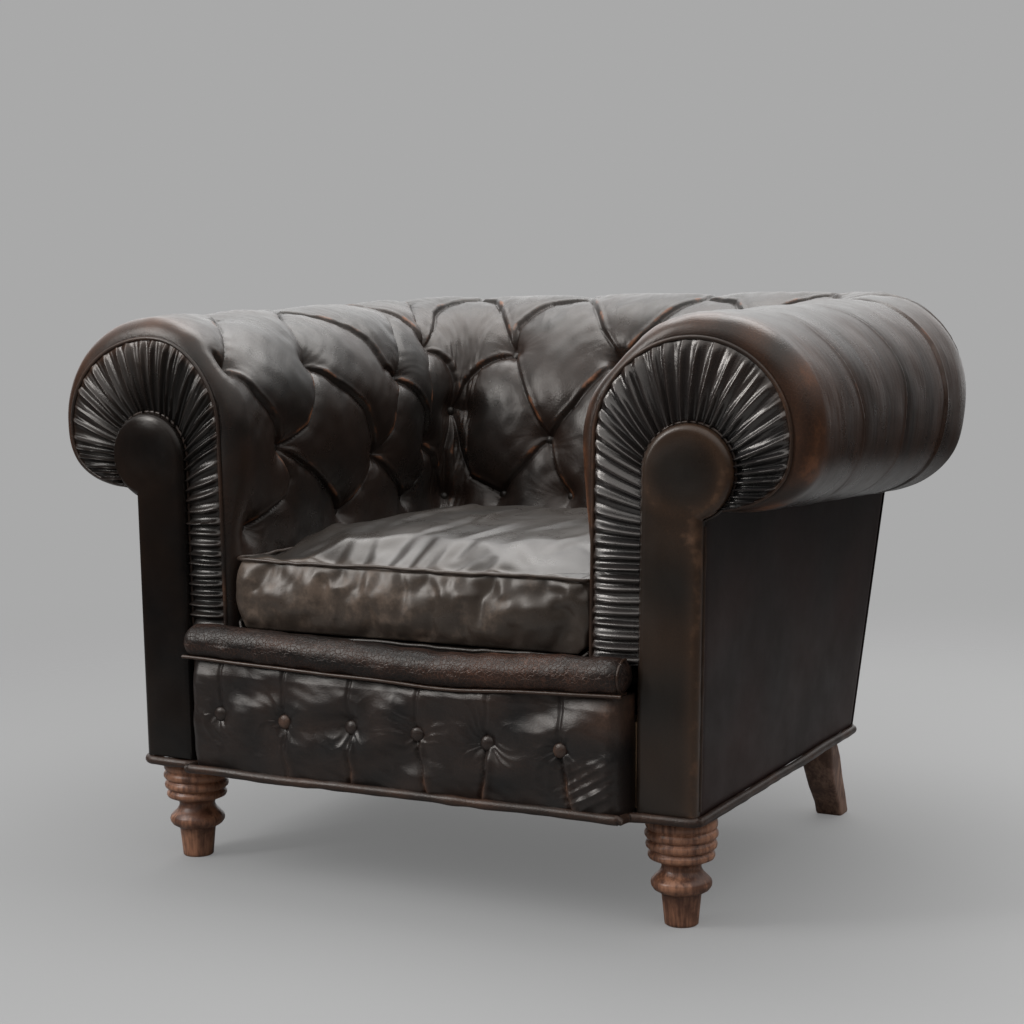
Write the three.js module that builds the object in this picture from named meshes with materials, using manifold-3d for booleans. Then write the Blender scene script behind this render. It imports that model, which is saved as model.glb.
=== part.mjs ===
// A worn leather club chair with rolled arms, a raked rolled back and a loose seat cushion.
// Millimetres, +Z up, the seat faces -Y, and the origin is on the floor under the middle of the chair.
// Left and right are the sitter's, so the left arm is on the +X side. Both sides are made by one
// function: the right side is the left one mirrored.
import * as THREE from "three";
import { mergeVertices } from "three/addons/utils/BufferGeometryUtils.js";
import Module from "manifold-3d";

const wasm = await Module();
wasm.setup();

// ---------------------------------------------------------------- driving dimensions

const GAP = 0.3; // between pieces that touch
const FRONT = -436; // foremost line: the lip's front and the welt under it
const BASE_Z = 141; // underside of the covered carcass
const SEAT_Z = 319.5; // top of the fixed seat, where the loose cushion rests
const HALF_BASE = 384; // half the width over the outside arm panels, at the base
const LEAN = 0.019; // the sides lean outwards by this much for each millimetre of height
const BACK_RAKE = 0.386; // slope of the outside back
const INNER_RAKE = 0.3; // slope of the stuffed inside back
const RAIL_TOP = 240;

// Layers under the seat, from the floor up.
const DUST_Z = 133.5;
const WEB_LOW_Z = 135.8;
const WEB_HIGH_Z = 138.1;
const SHEET = 2; // thickness of cloth and webbing
const RAIL_Z = 140.5;
const HESSIAN_Z = 258;
const DECK_Z = 262;

// Front to back, at the arms.
const PANEL_FRONT = -407; // front of the keyhole facing panels
const PANEL_THICK = 15;
const PLEATS_FRONT = PANEL_FRONT + PANEL_THICK + GAP;
const PLEATS_THICK = 5;
const PAD_FRONT = PLEATS_FRONT + PLEATS_THICK + GAP;
const BOARD_THICK = 20;
const POST_FRONT = PAD_FRONT + BOARD_THICK + GAP;
const POST_BACK = POST_FRONT + 50;

// The stuffed arms and back follow one section, measured outwards (n) from the seat's inside line.
const INNER_X = 246; // inside line of the arm, at the base
const CORNER_R = 30; // inside corner between arm and back, in plan
const PAD_FOOT = 255; // lower edge of the inside arm and back
const STUFFING = 53; // thickness of the inside arm and back
const BULGE = 14; // how far the stuffing swells over the seat
const COVER = 5; // board and leather of the outside panels

const innerX = (z) => INNER_X + LEAN * (z - 135);
const innerY = (z) => 149 + INNER_RAKE * (z - 400);
const outerX = (z) => HALF_BASE + LEAN * (z - 135);
const outerY = (z) => 171 + BACK_RAKE * (z - 148);

// ---------------------------------------------------------------- materials

const finish = (color, roughness, metalness = 0) =>
  new THREE.MeshStandardMaterial({ color, roughness, metalness });
const LEATHER = finish(0x1d1a18, 0.42);
const SEAT_LEATHER = finish(0x2b2724, 0.4);
const PLEAT_LEATHER = finish(0x191817, 0.45);
const PANEL_LEATHER = finish(0x201b1a, 0.5);
const LEG_WOOD = finish(0x5a3424, 0.45);
const FRAME_WOOD = finish(0xb08a5c, 0.8);
const JUTE = finish(0xa08a60, 0.9);
const STEEL = finish(0x777066, 0.5, 1);
const DUST_CLOTH = finish(0x1f1f1f, 0.95);

// ---------------------------------------------------------------- building helpers

const chair = new THREE.Group();

function piece(name, geometry, material, parent = chair) {
  const mesh = new THREE.Mesh(geometry, material);
  mesh.name = name;
  parent.add(mesh);
  return mesh;
}

function block(x0, x1, y0, y1, z0, z1) {
  const g = new THREE.BoxGeometry(x1 - x0, y1 - y0, z1 - z0);
  return g.translate((x0 + x1) / 2, (y0 + y1) / 2, (z0 + z1) / 2);
}

// An outline drawn in X and Z, as thick as depth and with its front at y0.
function slabXZ(shape, y0, depth, options = {}) {
  const g = new THREE.ExtrudeGeometry(shape, {
    depth,
    bevelEnabled: false,
    ...options,
  });
  return g.rotateX(Math.PI / 2).translate(0, y0 + depth, 0);
}

// An outline drawn in Y and Z, from x0 to x1.
function slabYZ(points, x0, x1) {
  const shape = new THREE.Shape(points.map(([y, z]) => new THREE.Vector2(y, z)));
  const g = new THREE.ExtrudeGeometry(shape, { depth: x1 - x0, bevelEnabled: false });
  // The extrusion's axes (u, v, w) become (Y, Z, X).
  const axes = new THREE.Matrix4().set(0, 0, 1, x0, 1, 0, 0, 0, 0, 1, 0, 0, 0, 0, 0, 1);
  return g.applyMatrix4(axes);
}

// An outline drawn in X and Y, from z0 to z1.
function slabXY(points, z0, z1) {
  const shape = new THREE.Shape(points.map(([x, y]) => new THREE.Vector2(x, y)));
  const g = new THREE.ExtrudeGeometry(shape, { depth: z1 - z0, bevelEnabled: false });
  return g.translate(0, 0, z0);
}

// Leans a piece of the left side outwards with height.
function lean(geometry) {
  const p = geometry.getAttribute("position");
  for (let i = 0; i < p.count; i++) p.setX(i, p.getX(i) + LEAN * (p.getZ(i) - 135));
  return geometry;
}

// A closed body through rings of points, each ring an outline with the same number of points.
// flat gives the outline of a ring in its own plane, from which the two end faces are made.
function loft(rings, flat) {
  const n = rings[0].length;
  const faces = [];
  for (let r = 0; r + 1 < rings.length; r++)
    for (let i = 0; i < n; i++) {
      const a = r * n + i;
      const b = r * n + ((i + 1) % n);
      faces.push(a, b, b + n, a, b + n, a + n);
    }
  const ends = [0, rings.length - 1];
  ends.forEach((r) => {
    const outline = flat(r).map(([u, v]) => new THREE.Vector2(u, v));
    const along = THREE.ShapeUtils.isClockWise(outline) === (r === 0);
    for (const [a, b, c] of THREE.ShapeUtils.triangulateShape(outline, []))
      faces.push(...(along ? [a, b, c] : [a, c, b]).map((i) => i + r * n));
  });
  const g = new THREE.BufferGeometry();
  g.setAttribute("position", new THREE.Float32BufferAttribute(rings.flat(2), 3));
  g.setIndex(faces);
  return volume(g) < 0 ? reversed(g) : g;
}

function volume(g) {
  const p = g.getAttribute("position");
  const [a, b, c] = [new THREE.Vector3(), new THREE.Vector3(), new THREE.Vector3()];
  let sum = 0;
  for (let i = 0; i < g.index.count; i += 3) {
    [a, b, c].forEach((v, k) => v.fromBufferAttribute(p, g.index.getX(i + k)));
    sum += a.dot(b.cross(c)) / 6;
  }
  return sum;
}

function reversed(g) {
  const index = Array.from(g.index.array);
  for (let i = 0; i < index.length; i += 3)
    [index[i + 1], index[i + 2]] = [index[i + 2], index[i + 1]];
  g.setIndex(index);
  return g;
}

function solid(geometry) {
  const g = geometry.clone();
  g.deleteAttribute("normal");
  g.deleteAttribute("uv");
  const merged = mergeVertices(g, 1e-3);
  return new wasm.Manifold(
    new wasm.Mesh({
      numProp: 3,
      vertProperties: merged.getAttribute("position").array,
      triVerts: new Uint32Array(merged.index.array),
    }),
  );
}

function cut(geometry, tools) {
  let body = solid(geometry);
  for (const tool of tools) body = body.subtract(solid(tool));
  const { vertProperties, triVerts } = body.getMesh();
  const g = new THREE.BufferGeometry();
  g.setAttribute("position", new THREE.Float32BufferAttribute(vertProperties, 3));
  g.setIndex(Array.from(triVerts));
  return g;
}

// A quarter of a rounded outline: an ellipse whose power, when over 2, makes it squarer.
function bend(cu, cv, ru, rv, from, to, steps, power = 2) {
  return Array.from({ length: steps + 1 }, (_, i) => {
    const t = THREE.MathUtils.degToRad(from + ((to - from) * i) / steps);
    const e = 2 / power;
    const c = Math.cos(t);
    const s = Math.sin(t);
    return [
      cu + ru * Math.sign(c) * Math.abs(c) ** e,
      cv + rv * Math.sign(s) * Math.abs(s) ** e,
    ];
  });
}

// ---------------------------------------------------------------- stuffed arms and back

// Places on the way round, from the arm's front, through the back corner, to the back. The roll
// reaches out to reach, its top and underside are at top and low, and its lower edge is at end.
const ARM_FRONT = { reach: 258, top: 704, low: 486, end: 145 };
const ARM_BACK = { reach: 266, top: 724, low: 466, end: 142 };
const NEAR_CORNER = { reach: 262, top: 728, low: 466, end: 155 };
const CORNER = { reach: 254, top: 731, low: 466, end: 191 };
const PAST_CORNER = { reach: 237, top: 731, low: 466, end: 140 };
const BACK = { reach: 226.4, top: 731, low: 466, end: 128 };
const ROLL_Z = 575; // height of the roll's widest line

const atLeast =
  (least) =>
  ([n, z]) => [Math.max(n, least), z];

// The outside of the section, from the foot of the inside, over the roll, to its lower edge.
function outerCurve({ reach, top, low, end }) {
  const middle = (reach - BULGE) / 2;
  const half = (reach + BULGE) / 2;
  return [
    [0, PAD_FOOT],
    [0, 415],
    [-0.6 * BULGE, 445],
    [-0.95 * BULGE, 500],
    ...bend(middle, ROLL_Z, half, top - ROLL_Z, 180, 0, 12),
    ...bend(middle, ROLL_Z, half, ROLL_Z - low, -15, -75, 4, 2.8).map(atLeast(end + 3)),
    [end, low + 2],
  ];
}

// The hollow inside the section, where the frame is: from the lower edge back to the foot.
function innerCurve({ reach, low, end }) {
  const middle = (reach - BULGE) / 2;
  return [
    [end - 6, low + 3],
    [end - 6, 514],
    ...bend(middle, 572, middle - STUFFING, 58, -75, -15, 4, 2.6).map(atLeast(end - 6)),
    ...bend(middle, 572, middle - STUFFING, 70, 0, 180, 8),
    [STUFFING, 324.5],
    [STUFFING, 324],
    [STUFFING, PAD_FOOT],
  ];
}

// The scroll board's outline, grown by some clearance: the rounded head and its inner edge.
const HEAD_N = 118.6;
const HEAD_Z = 565;
const boardHead = (clear) => [
  ...bend(HEAD_N, HEAD_Z, 110 + clear, 70 + clear, -75, -15, 4, 2.6),
  ...bend(HEAD_N, HEAD_Z, 110 + clear, 107 + clear, 0, 180, 8),
];

// The same hollow at the arm's front, cut out wider for the scroll board.
function boardRebate({ low, end }) {
  return [
    [end - 6, low + 3],
    [end - 6, HEAD_Z - 70],
    ...boardHead(0.6),
    [HEAD_N - 110.6, 324.4],
    [STUFFING, 324.4],
    [STUFFING, PAD_FOOT],
  ];
}

const armSection = (y, place, hollow) =>
  [...outerCurve(place), ...hollow(place)].map(([n, z]) => [innerX(z) + n, y, z]);

// A section turned about the inside corner: 0 degrees lies across the arm and 90 across the back.
function turnedSection(degrees, place, nudge = 0) {
  const t = THREE.MathUtils.degToRad(degrees);
  const [c, s] = [Math.cos(t), Math.sin(t)];
  return [...outerCurve(place), ...innerCurve(place)].map(([n, z]) => [
    innerX(z) - CORNER_R + (CORNER_R + n) * c - nudge * s,
    innerY(z) - CORNER_R + (CORNER_R + n) * s + nudge * c,
    z,
  ]);
}

const mirrored = (ring) => ring.map(([x, y, z]) => [-x, y, z]);
const middleSection = () =>
  [...outerCurve(BACK), ...innerCurve(BACK)].map(([n, z]) => [0, innerY(z) + n, z]);

function armPad() {
  const rings = [
    armSection(PAD_FRONT, ARM_FRONT, boardRebate),
    armSection(POST_FRONT - 0.2, ARM_FRONT, boardRebate),
    armSection(POST_FRONT, ARM_FRONT, innerCurve),
    turnedSection(0, ARM_BACK),
    turnedSection(22.5, NEAR_CORNER),
    turnedSection(45, CORNER, -GAP / 2),
  ];
  return loft(rings, (r) => rings[r].map(([x, , z]) => [x, z]));
}

function backPad() {
  const half = [
    turnedSection(45, CORNER, GAP / 2),
    turnedSection(67.5, PAST_CORNER),
    turnedSection(90, BACK),
  ];
  const rings = [...half, middleSection(), ...half.map(mirrored).reverse()];
  return loft(rings, (r) => rings[r].map(([, y, z]) => [y, z]));
}

// ---------------------------------------------------------------- arm fronts

const PANEL_IN = 309.5; // inner edge of the keyhole panel's shaft
const PANEL_HEAD_R = 55;
const PANEL_HEAD = [PANEL_IN + PANEL_HEAD_R, 530];
const PANEL_BEVEL = 4;

// The keyhole facing panel: a straight shaft with a round head that overhangs outwards.
function facingPanel() {
  const [cx, cz] = PANEL_HEAD;
  const edge = PANEL_BEVEL;
  const r = PANEL_HEAD_R - edge;
  const right = HALF_BASE - edge;
  const meet = -Math.acos((right - cx) / r);
  const s = new THREE.Shape();
  s.moveTo(PANEL_IN + edge, BASE_Z + edge);
  s.lineTo(right, BASE_Z + edge);
  s.lineTo(right, cz + r * Math.sin(meet));
  s.absarc(cx, cz, r, meet, Math.PI, false);
  s.lineTo(PANEL_IN + edge, BASE_Z + edge);
  const g = slabXZ(s, PANEL_FRONT + edge, PANEL_THICK - 2 * edge, {
    curveSegments: 18,
    bevelEnabled: true,
    bevelThickness: edge,
    bevelSize: edge,
    bevelSegments: 2,
  });
  return lean(g);
}

// The pleated leather round the head and down the inner edge, as one thin sheet.
function pleatedFacing() {
  const head = bend(HEAD_N, HEAD_Z, 118.2, 77, -75, -15, 4, 2.6);
  const crown = bend(HEAD_N, HEAD_Z, 118.2, 115, 0, 180, 14);
  const outline = [
    [84, 325],
    [84, HEAD_Z - 77],
    [HALF_BASE - INNER_X, HEAD_Z - 77],
    ...head,
    ...crown,
    [HEAD_N - 118.2, 325],
  ].map(([n, z]) => new THREE.Vector2(INNER_X + n, z));
  return lean(slabXZ(new THREE.Shape(outline), PLEATS_FRONT, PLEATS_THICK));
}

// The board behind the pleats: the scroll's head, and a shaft down to the base.
function scrollBoard() {
  const outline = [
    [318, BASE_Z - 0.5],
    [372, BASE_Z - 0.5],
    [372, HEAD_Z - 70],
    ...boardHead(0).map(([n, z]) => [INNER_X + n, z]),
    [INNER_X + HEAD_N - 110, 325],
    [318, 325],
  ].map(([x, z]) => new THREE.Vector2(x, z));
  return lean(slabXZ(new THREE.Shape(outline), PAD_FRONT, BOARD_THICK));
}

// ---------------------------------------------------------------- front feet and back legs

const FOOT_X = 345;
const FOOT_Y = -352;
const SPIGOT_R = 12;
const SPIGOT_TOP = 185;

// A turned foot: tapered toe, double ring, neck, and three reeds under the carcass.
function turnedFoot() {
  const reed = (z0, z1, r) => [
    [r - 2.5, z0],
    [r, z0 + 0.3 * (z1 - z0)],
    [r, z0 + 0.7 * (z1 - z0)],
    [r - 2.5, z1],
  ];
  const profile = [
    [0, 0],
    [19, 0],
    [20.3, 3],
    [23.5, 36],
    [29, 38],
    [32, 41],
    [31.5, 44],
    [36, 49],
    [36, 53],
    [31, 59],
    [25, 63],
    [23.2, 70],
    [26, 74],
    [31, 76],
    ...reed(77, 88, 39),
    ...reed(89, 101, 42),
    ...reed(102, 114, 43),
    [42, 117],
    [42, 128],
    [33, 128],
    [33, DUST_Z - GAP],
    [SPIGOT_R, DUST_Z - GAP],
    [SPIGOT_R, SPIGOT_TOP],
    [0, SPIGOT_TOP],
  ].map(([r, z]) => new THREE.Vector2(r, z));
  const g = new THREE.LatheGeometry(profile, 24);
  return g.rotateX(Math.PI / 2).translate(FOOT_X, FOOT_Y, 0);
}

const bore = (r, z0, z1) => {
  const g = new THREE.CylinderGeometry(r, r, z1 - z0, 24);
  return g.rotateX(Math.PI / 2).translate(FOOT_X, FOOT_Y, (z0 + z1) / 2);
};

function frontPost() {
  return cut(block(318, 372, POST_FRONT, POST_BACK, RAIL_Z, 544.7), [
    bore(SPIGOT_R + 0.4, RAIL_Z - 5, SPIGOT_TOP + 1),
  ]);
}

const BACK_POST = [320, 366];
const POST_DEPTH = 42;
const PANEL_TOP = 463; // top of the outside panels at the back
const backPostRear = (z) => outerY(z) - COVER - 2;

// The back leg and back post are sawn from one plank: a sabre leg below, a raked post above.
function backLegPost() {
  const top = 560;
  const shoulder = backPostRear(PANEL_TOP);
  const topRear = shoulder + INNER_RAKE * (top - PANEL_TOP);
  const outline = [
    [197, 0],
    [230, 0],
    [215, 30],
    [194, 60],
    [176, 90],
    [backPostRear(118), 118],
    [shoulder, PANEL_TOP],
    [topRear, top],
    [topRear - POST_DEPTH, top],
    [shoulder - POST_DEPTH, PANEL_TOP],
    [backPostRear(135) - POST_DEPTH, 135],
    [129, 105],
    [139, 80],
    [162, 47],
    [189, 18],
  ];
  const g = slabYZ(outline, ...BACK_POST);
  // Below the carcass the outer face tapers in towards the floor.
  const p = g.getAttribute("position");
  for (let i = 0; i < p.count; i++)
    if (p.getX(i) > 360 && p.getZ(i) < 135)
      p.setX(i, p.getX(i) - 8 * (1 - p.getZ(i) / 135));
  return g;
}

// ---------------------------------------------------------------- one side of the chair

function outsideArm() {
  const outline = [
    [PANEL_FRONT + PANEL_THICK + GAP, BASE_Z],
    [outerY(BASE_Z) - COVER - GAP, BASE_Z],
    [outerY(PANEL_TOP) - COVER - GAP, PANEL_TOP],
    [120, PANEL_TOP + 5],
    [PANEL_FRONT + PANEL_THICK + GAP, 484],
  ];
  return lean(slabYZ(outline, HALF_BASE - COVER, HALF_BASE));
}

function cornerBlock() {
  return slabXY(
    [
      [245, -346.7],
      [317.7, -346.7],
      [317.7, POST_BACK + GAP],
      [329.7, POST_BACK + GAP],
      [329.7, -262],
    ],
    150,
    200,
  );
}

function addSide(prefix, sign) {
  const side = new THREE.Group();
  side.scale.x = sign;
  chair.add(side);
  const add = (name, geometry, material) =>
    piece(prefix + "_" + name, geometry, material, side);
  add("arm_pad", armPad(), LEATHER);
  add("pleated_facing", pleatedFacing(), PLEAT_LEATHER);
  add("facing_panel", facingPanel(), PANEL_LEATHER);
  add("outside_arm_panel", outsideArm(), PANEL_LEATHER);
  add("scroll_board", scrollBoard(), FRAME_WOOD);
  add("front_post", frontPost(), FRAME_WOOD);
  add("front_foot", turnedFoot(), LEG_WOOD);
  add("back_leg_post", backLegPost(), LEG_WOOD);
  add("side_seat_rail", block(330, 375, POST_BACK + GAP, 117, RAIL_Z, RAIL_TOP), FRAME_WOOD);
  add("arm_top_rail", block(330, 404, POST_FRONT, 267, 545, 590), FRAME_WOOD);
  add("arm_stay_rail", block(335, 365, POST_BACK + GAP, 176, 290, 330), FRAME_WOOD);
  add("corner_block", cornerBlock(), FRAME_WOOD);
}

// ---------------------------------------------------------------- back and rails

function outsideBack() {
  const ring = (z) => {
    const x = outerX(z);
    const y = outerY(z);
    return [
      [-x, y - COVER, z],
      [x, y - COVER, z],
      [x, y, z],
      [-x, y, z],
    ];
  };
  const rings = [ring(BASE_Z), ring(PANEL_TOP)];
  return loft(rings, (r) => rings[r].map(([x, y]) => [x, y]));
}

function addBack() {
  const inside = BACK_POST[0] - GAP;
  piece("back_pad", backPad(), LEATHER);
  piece("outside_back_panel", outsideBack(), PANEL_LEATHER);
  piece("back_top_rail", block(-inside, inside, 266, 296, 515, 559), FRAME_WOOD);
  piece("back_stay_rail", block(-inside, inside, 188, 218, 290, 330), FRAME_WOOD);
  piece("back_seat_rail", block(-inside, inside, 122, 161, RAIL_Z, RAIL_TOP), FRAME_WOOD);
  piece("front_seat_rail", block(-317.7, 317.7, -387, -347, RAIL_Z, RAIL_TOP), FRAME_WOOD);
}

// ---------------------------------------------------------------- sprung seat

const SPRING_X = [-170, 0, 170];
const SPRING_Y = [-300, -135, 30];
const WEB_WIDTH = 50;
const WIRE_R = 2;
const DECK_HALF = 245;
const DECK_BACK = 102.5;

// A waisted coil: its radius is least at half height.
class SpringLine extends THREE.Curve {
  constructor(z0, z1, turns, endR, waistR) {
    super();
    Object.assign(this, { z0, z1, turns, endR, waistR });
  }

  getPoint(t, target = new THREE.Vector3()) {
    const a = 2 * Math.PI * this.turns * t;
    const r = this.waistR + (this.endR - this.waistR) * (2 * t - 1) ** 2;
    return target.set(r * Math.cos(a), r * Math.sin(a), this.z0 + (this.z1 - this.z0) * t);
  }
}

function ngon(sides, r) {
  return new THREE.Shape(
    Array.from({ length: sides }, (_, i) => {
      const a = (2 * Math.PI * i) / sides;
      return new THREE.Vector2(r * Math.cos(a), r * Math.sin(a));
    }),
  );
}

function coilSpring() {
  const clear = WIRE_R + 1;
  const line = new SpringLine(RAIL_Z + clear, HESSIAN_Z - clear, 4.5, 40, 27);
  return new THREE.ExtrudeGeometry(ngon(5, WIRE_R), {
    steps: 36,
    bevelEnabled: false,
    extrudePath: line,
  });
}

// The seat's plan: square at the front, with rounded back corners.
function seatPlan(front, inset) {
  const r = CORNER_R;
  const corner = bend(DECK_HALF - r, DECK_BACK - r, r - inset, r - inset, 0, 90, 4);
  return [
    [-DECK_HALF + inset, front],
    [DECK_HALF - inset, front],
    ...corner,
    ...corner.map(([x, y]) => [-x, y]).reverse(),
  ];
}

// The dust cover reaches the back rail between the back legs, and stops in front of each leg.
function dustPlan() {
  const half = [
    [372, -385],
    [372, 112],
    [BACK_POST[0] - 2, 112],
    [BACK_POST[0] - 2, 160],
  ];
  return [...half, ...half.map(([x, y]) => [-x, y]).reverse()];
}

function addSeat() {
  const half = WEB_WIDTH / 2;
  SPRING_X.forEach((x, i) =>
    piece(
      "web_lengthwise_" + (i + 1),
      block(x - half, x + half, -385, 160, WEB_LOW_Z, WEB_LOW_Z + SHEET),
      JUTE,
    ),
  );
  SPRING_Y.forEach((y, i) =>
    piece(
      "web_crosswise_" + (i + 1),
      block(-372, 372, y - half, y + half, WEB_HIGH_Z, WEB_HIGH_Z + SHEET),
      JUTE,
    ),
  );
  SPRING_Y.forEach((y, row) =>
    SPRING_X.forEach((x, column) =>
      piece(`seat_spring_${row + 1}_${column + 1}`, coilSpring().translate(x, y, 0), STEEL),
    ),
  );
  piece(
    "spring_hessian",
    slabXY(seatPlan(-386, 1), HESSIAN_Z, HESSIAN_Z + SHEET),
    JUTE,
  );
  piece(
    "seat_deck",
    slabXY(seatPlan(-386.5, 0), DECK_Z, SEAT_Z),
    SEAT_LEATHER,
  );
  piece(
    "dust_cover",
    cut(slabXY(dustPlan(), DUST_Z, DUST_Z + SHEET), [
      bore(SPIGOT_R + 2, DUST_Z - 5, DUST_Z + 5),
      bore(SPIGOT_R + 2, DUST_Z - 5, DUST_Z + 5).translate(-2 * FOOT_X, 0, 0),
    ]),
    DUST_CLOTH,
  );
}

// The loose cushion: a boxed pad with a crowned top, whose back follows the raked inside back.
function seatCushion() {
  const half = 247.5;
  const front = -398;
  const ring = (z, inset, backAt = z) => {
    const [x, y0, y1] = [half - inset, front + inset, innerY(backAt) - 3 - inset];
    const r = 27;
    const corner = (cx, cy, from) => bend(cx, cy, r, r, from, from + 90, 3);
    return [
      ...corner(x - r, y0 + r, -90),
      ...corner(x - r, y1 - r, 0),
      ...corner(-x + r, y1 - r, 90),
      ...corner(-x + r, y0 + r, 180),
    ].map(([u, v]) => [u, v, z]);
  };
  const rings = [
    ring(SEAT_Z + 0.5, 8),
    ring(328, 0),
    ring(396, 0),
    ring(403, 4),
    ring(413, 45, 403),
    ring(422, 100, 403),
    ring(430, 165, 403),
  ];
  return loft(rings, (r) => rings[r].map(([x, y]) => [x, y]));
}

// ---------------------------------------------------------------- front border, lip and welt

const BORDER_HALF = 303;
const BUTTON_X = [-250, -155, -60, 35, 130, 225];
const BUTTON_Z = 208;
const BUTTON_R = 8;
const BORDER_FACE = -430;

const buttonTool = (x, r, y0, y1) =>
  new THREE.CylinderGeometry(r, r, y1 - y0, 16).translate(x, (y0 + y1) / 2, BUTTON_Z);

function frontBorder() {
  const outline = [
    [-387.3, BASE_Z + 0.5],
    [-422, BASE_Z + 0.5],
    [-427, 160],
    [BORDER_FACE, 195],
    [BORDER_FACE, 225],
    [-426, 258],
    [-420, 274.8],
    [-387.3, 274.8],
  ];
  const bores = BUTTON_X.map((x) => buttonTool(x, BUTTON_R + 0.4, -450, BORDER_FACE + 9));
  return cut(slabYZ(outline, -BORDER_HALF, BORDER_HALF), bores);
}

function borderButton() {
  const profile = [
    [0, 0],
    [BUTTON_R, 0],
    [BUTTON_R, 7],
    [BUTTON_R * 0.86, 10],
    [BUTTON_R * 0.5, 12],
    [0, 12.6],
  ].map(([r, y]) => new THREE.Vector2(r, y));
  const seat = BORDER_FACE + 9 - GAP;
  return new THREE.LatheGeometry(profile, 16).rotateX(Math.PI).translate(0, seat, BUTTON_Z);
}

// The stuffed lip along the top of the border: an oval roll with drawn-in ends.
function frontLip() {
  const [cy, cz] = [FRONT + 24, 297.3];
  const ring = (x, k) =>
    bend(cy, cz, 24 * k, 22 * k, 0, 345, 23).map(([y, z]) => [x, y, z]);
  const rings = [
    ring(-307, 0.6),
    ring(-302, 0.88),
    ring(-292, 1),
    ring(292, 1),
    ring(302, 0.88),
    ring(307, 0.6),
  ];
  return loft(rings, (r) => rings[r].map(([, y, z]) => [y, z]));
}

const WELT_R = 6;
const WELT_Z = BASE_Z - WELT_R - 0.3;

// The welt round the base: it steps forward under the border, and its ends meet behind.
function baseWelt() {
  const side = HALF_BASE + 3;
  const rear = outerY(WELT_Z) + 2;
  const [arm, border] = [PANEL_FRONT + 2, FRONT + WELT_R];
  const half = [
    [0.3, rear],
    [side - 14, rear],
    [side - 3, rear - 4],
    [side, rear - 14],
    [side, arm + 12],
    [side - 3, arm + 3],
    [side - 12, arm],
    [BORDER_HALF + 12, arm],
    [BORDER_HALF + 4, arm - 6],
    [BORDER_HALF - 2, border + 4],
    [BORDER_HALF - 10, border],
  ];
  const route = [...half, ...half.map(([x, y]) => [-x, y]).reverse()];
  const sides = 8;
  const rings = route.map(([x, y], i) => {
    const [x0, y0] = route[Math.max(i - 1, 0)];
    const [x1, y1] = route[Math.min(i + 1, route.length - 1)];
    const length = Math.hypot(x1 - x0, y1 - y0);
    const [nx, ny] = [(y1 - y0) / length, (x0 - x1) / length];
    return Array.from({ length: sides }, (_, k) => {
      const a = (2 * Math.PI * (k + 0.5)) / sides;
      const out = WELT_R * Math.cos(a);
      return [x + nx * out, y + ny * out, WELT_Z + WELT_R * Math.sin(a)];
    });
  });
  return loft(rings, () =>
    Array.from({ length: sides }, (_, k) => {
      const a = (2 * Math.PI * k) / sides;
      return [Math.cos(a), Math.sin(a)];
    }),
  );
}

function addFront() {
  piece("front_border", frontBorder(), LEATHER);
  piece("front_lip", frontLip(), LEATHER);
  piece("seat_cushion", seatCushion(), SEAT_LEATHER);
  piece("base_welt", baseWelt(), LEATHER);
  BUTTON_X.forEach((x, i) =>
    piece("border_button_" + (i + 1), borderButton().translate(x, 0, 0), LEATHER),
  );
}

addSide("left", 1);
addSide("right", -1);
addBack();
addSeat();
addFront();

export default chair;
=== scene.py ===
"""A worn leather club chair: buttoned rolled arms and back, a loose seat cushion, a buttoned front
border, turned front feet and sabre back legs. Metres, +Z up, and the seat faces -Y."""
import math
import bpy
import numpy as np
from mathutils import Euler, Matrix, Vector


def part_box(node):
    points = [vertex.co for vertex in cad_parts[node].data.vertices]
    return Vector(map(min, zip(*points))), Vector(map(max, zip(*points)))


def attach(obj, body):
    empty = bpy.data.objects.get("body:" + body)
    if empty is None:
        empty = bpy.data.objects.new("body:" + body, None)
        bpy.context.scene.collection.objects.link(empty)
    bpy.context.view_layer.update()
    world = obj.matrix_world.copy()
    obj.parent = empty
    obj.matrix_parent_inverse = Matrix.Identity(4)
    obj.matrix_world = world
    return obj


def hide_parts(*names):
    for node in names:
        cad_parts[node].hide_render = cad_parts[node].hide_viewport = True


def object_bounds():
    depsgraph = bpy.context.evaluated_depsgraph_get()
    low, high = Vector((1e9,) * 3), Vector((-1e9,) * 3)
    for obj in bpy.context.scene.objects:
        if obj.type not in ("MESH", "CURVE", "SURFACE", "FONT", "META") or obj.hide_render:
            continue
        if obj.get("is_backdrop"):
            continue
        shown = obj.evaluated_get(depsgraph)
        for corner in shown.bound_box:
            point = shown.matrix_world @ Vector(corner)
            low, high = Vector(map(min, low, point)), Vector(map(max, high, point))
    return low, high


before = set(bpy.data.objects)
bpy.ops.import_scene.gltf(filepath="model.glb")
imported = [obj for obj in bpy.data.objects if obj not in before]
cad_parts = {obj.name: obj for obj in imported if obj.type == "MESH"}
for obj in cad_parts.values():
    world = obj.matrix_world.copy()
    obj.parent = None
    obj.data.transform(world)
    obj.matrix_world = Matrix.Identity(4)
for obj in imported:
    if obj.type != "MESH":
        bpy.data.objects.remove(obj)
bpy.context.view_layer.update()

# ---------------------------------------------------------------- stage
# Camera a little above the arms, to the sitter's left of the front, over a pale grey floor that
# fades into an even grey backdrop.
camera = bpy.data.objects.new("camera", bpy.data.cameras.new("camera"))
camera.data.lens = 69.68
camera.data.sensor_width = 36
heading = Euler((math.radians(90 - 5.83), 0, math.radians(27.59))).to_matrix().to_4x4()
level = Matrix.Rotation(math.radians(-0.54), 4, "Z")
camera.matrix_world = Matrix.Translation((1.214, -2.431, 0.712)) @ heading @ level
bpy.context.collection.objects.link(camera)
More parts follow.
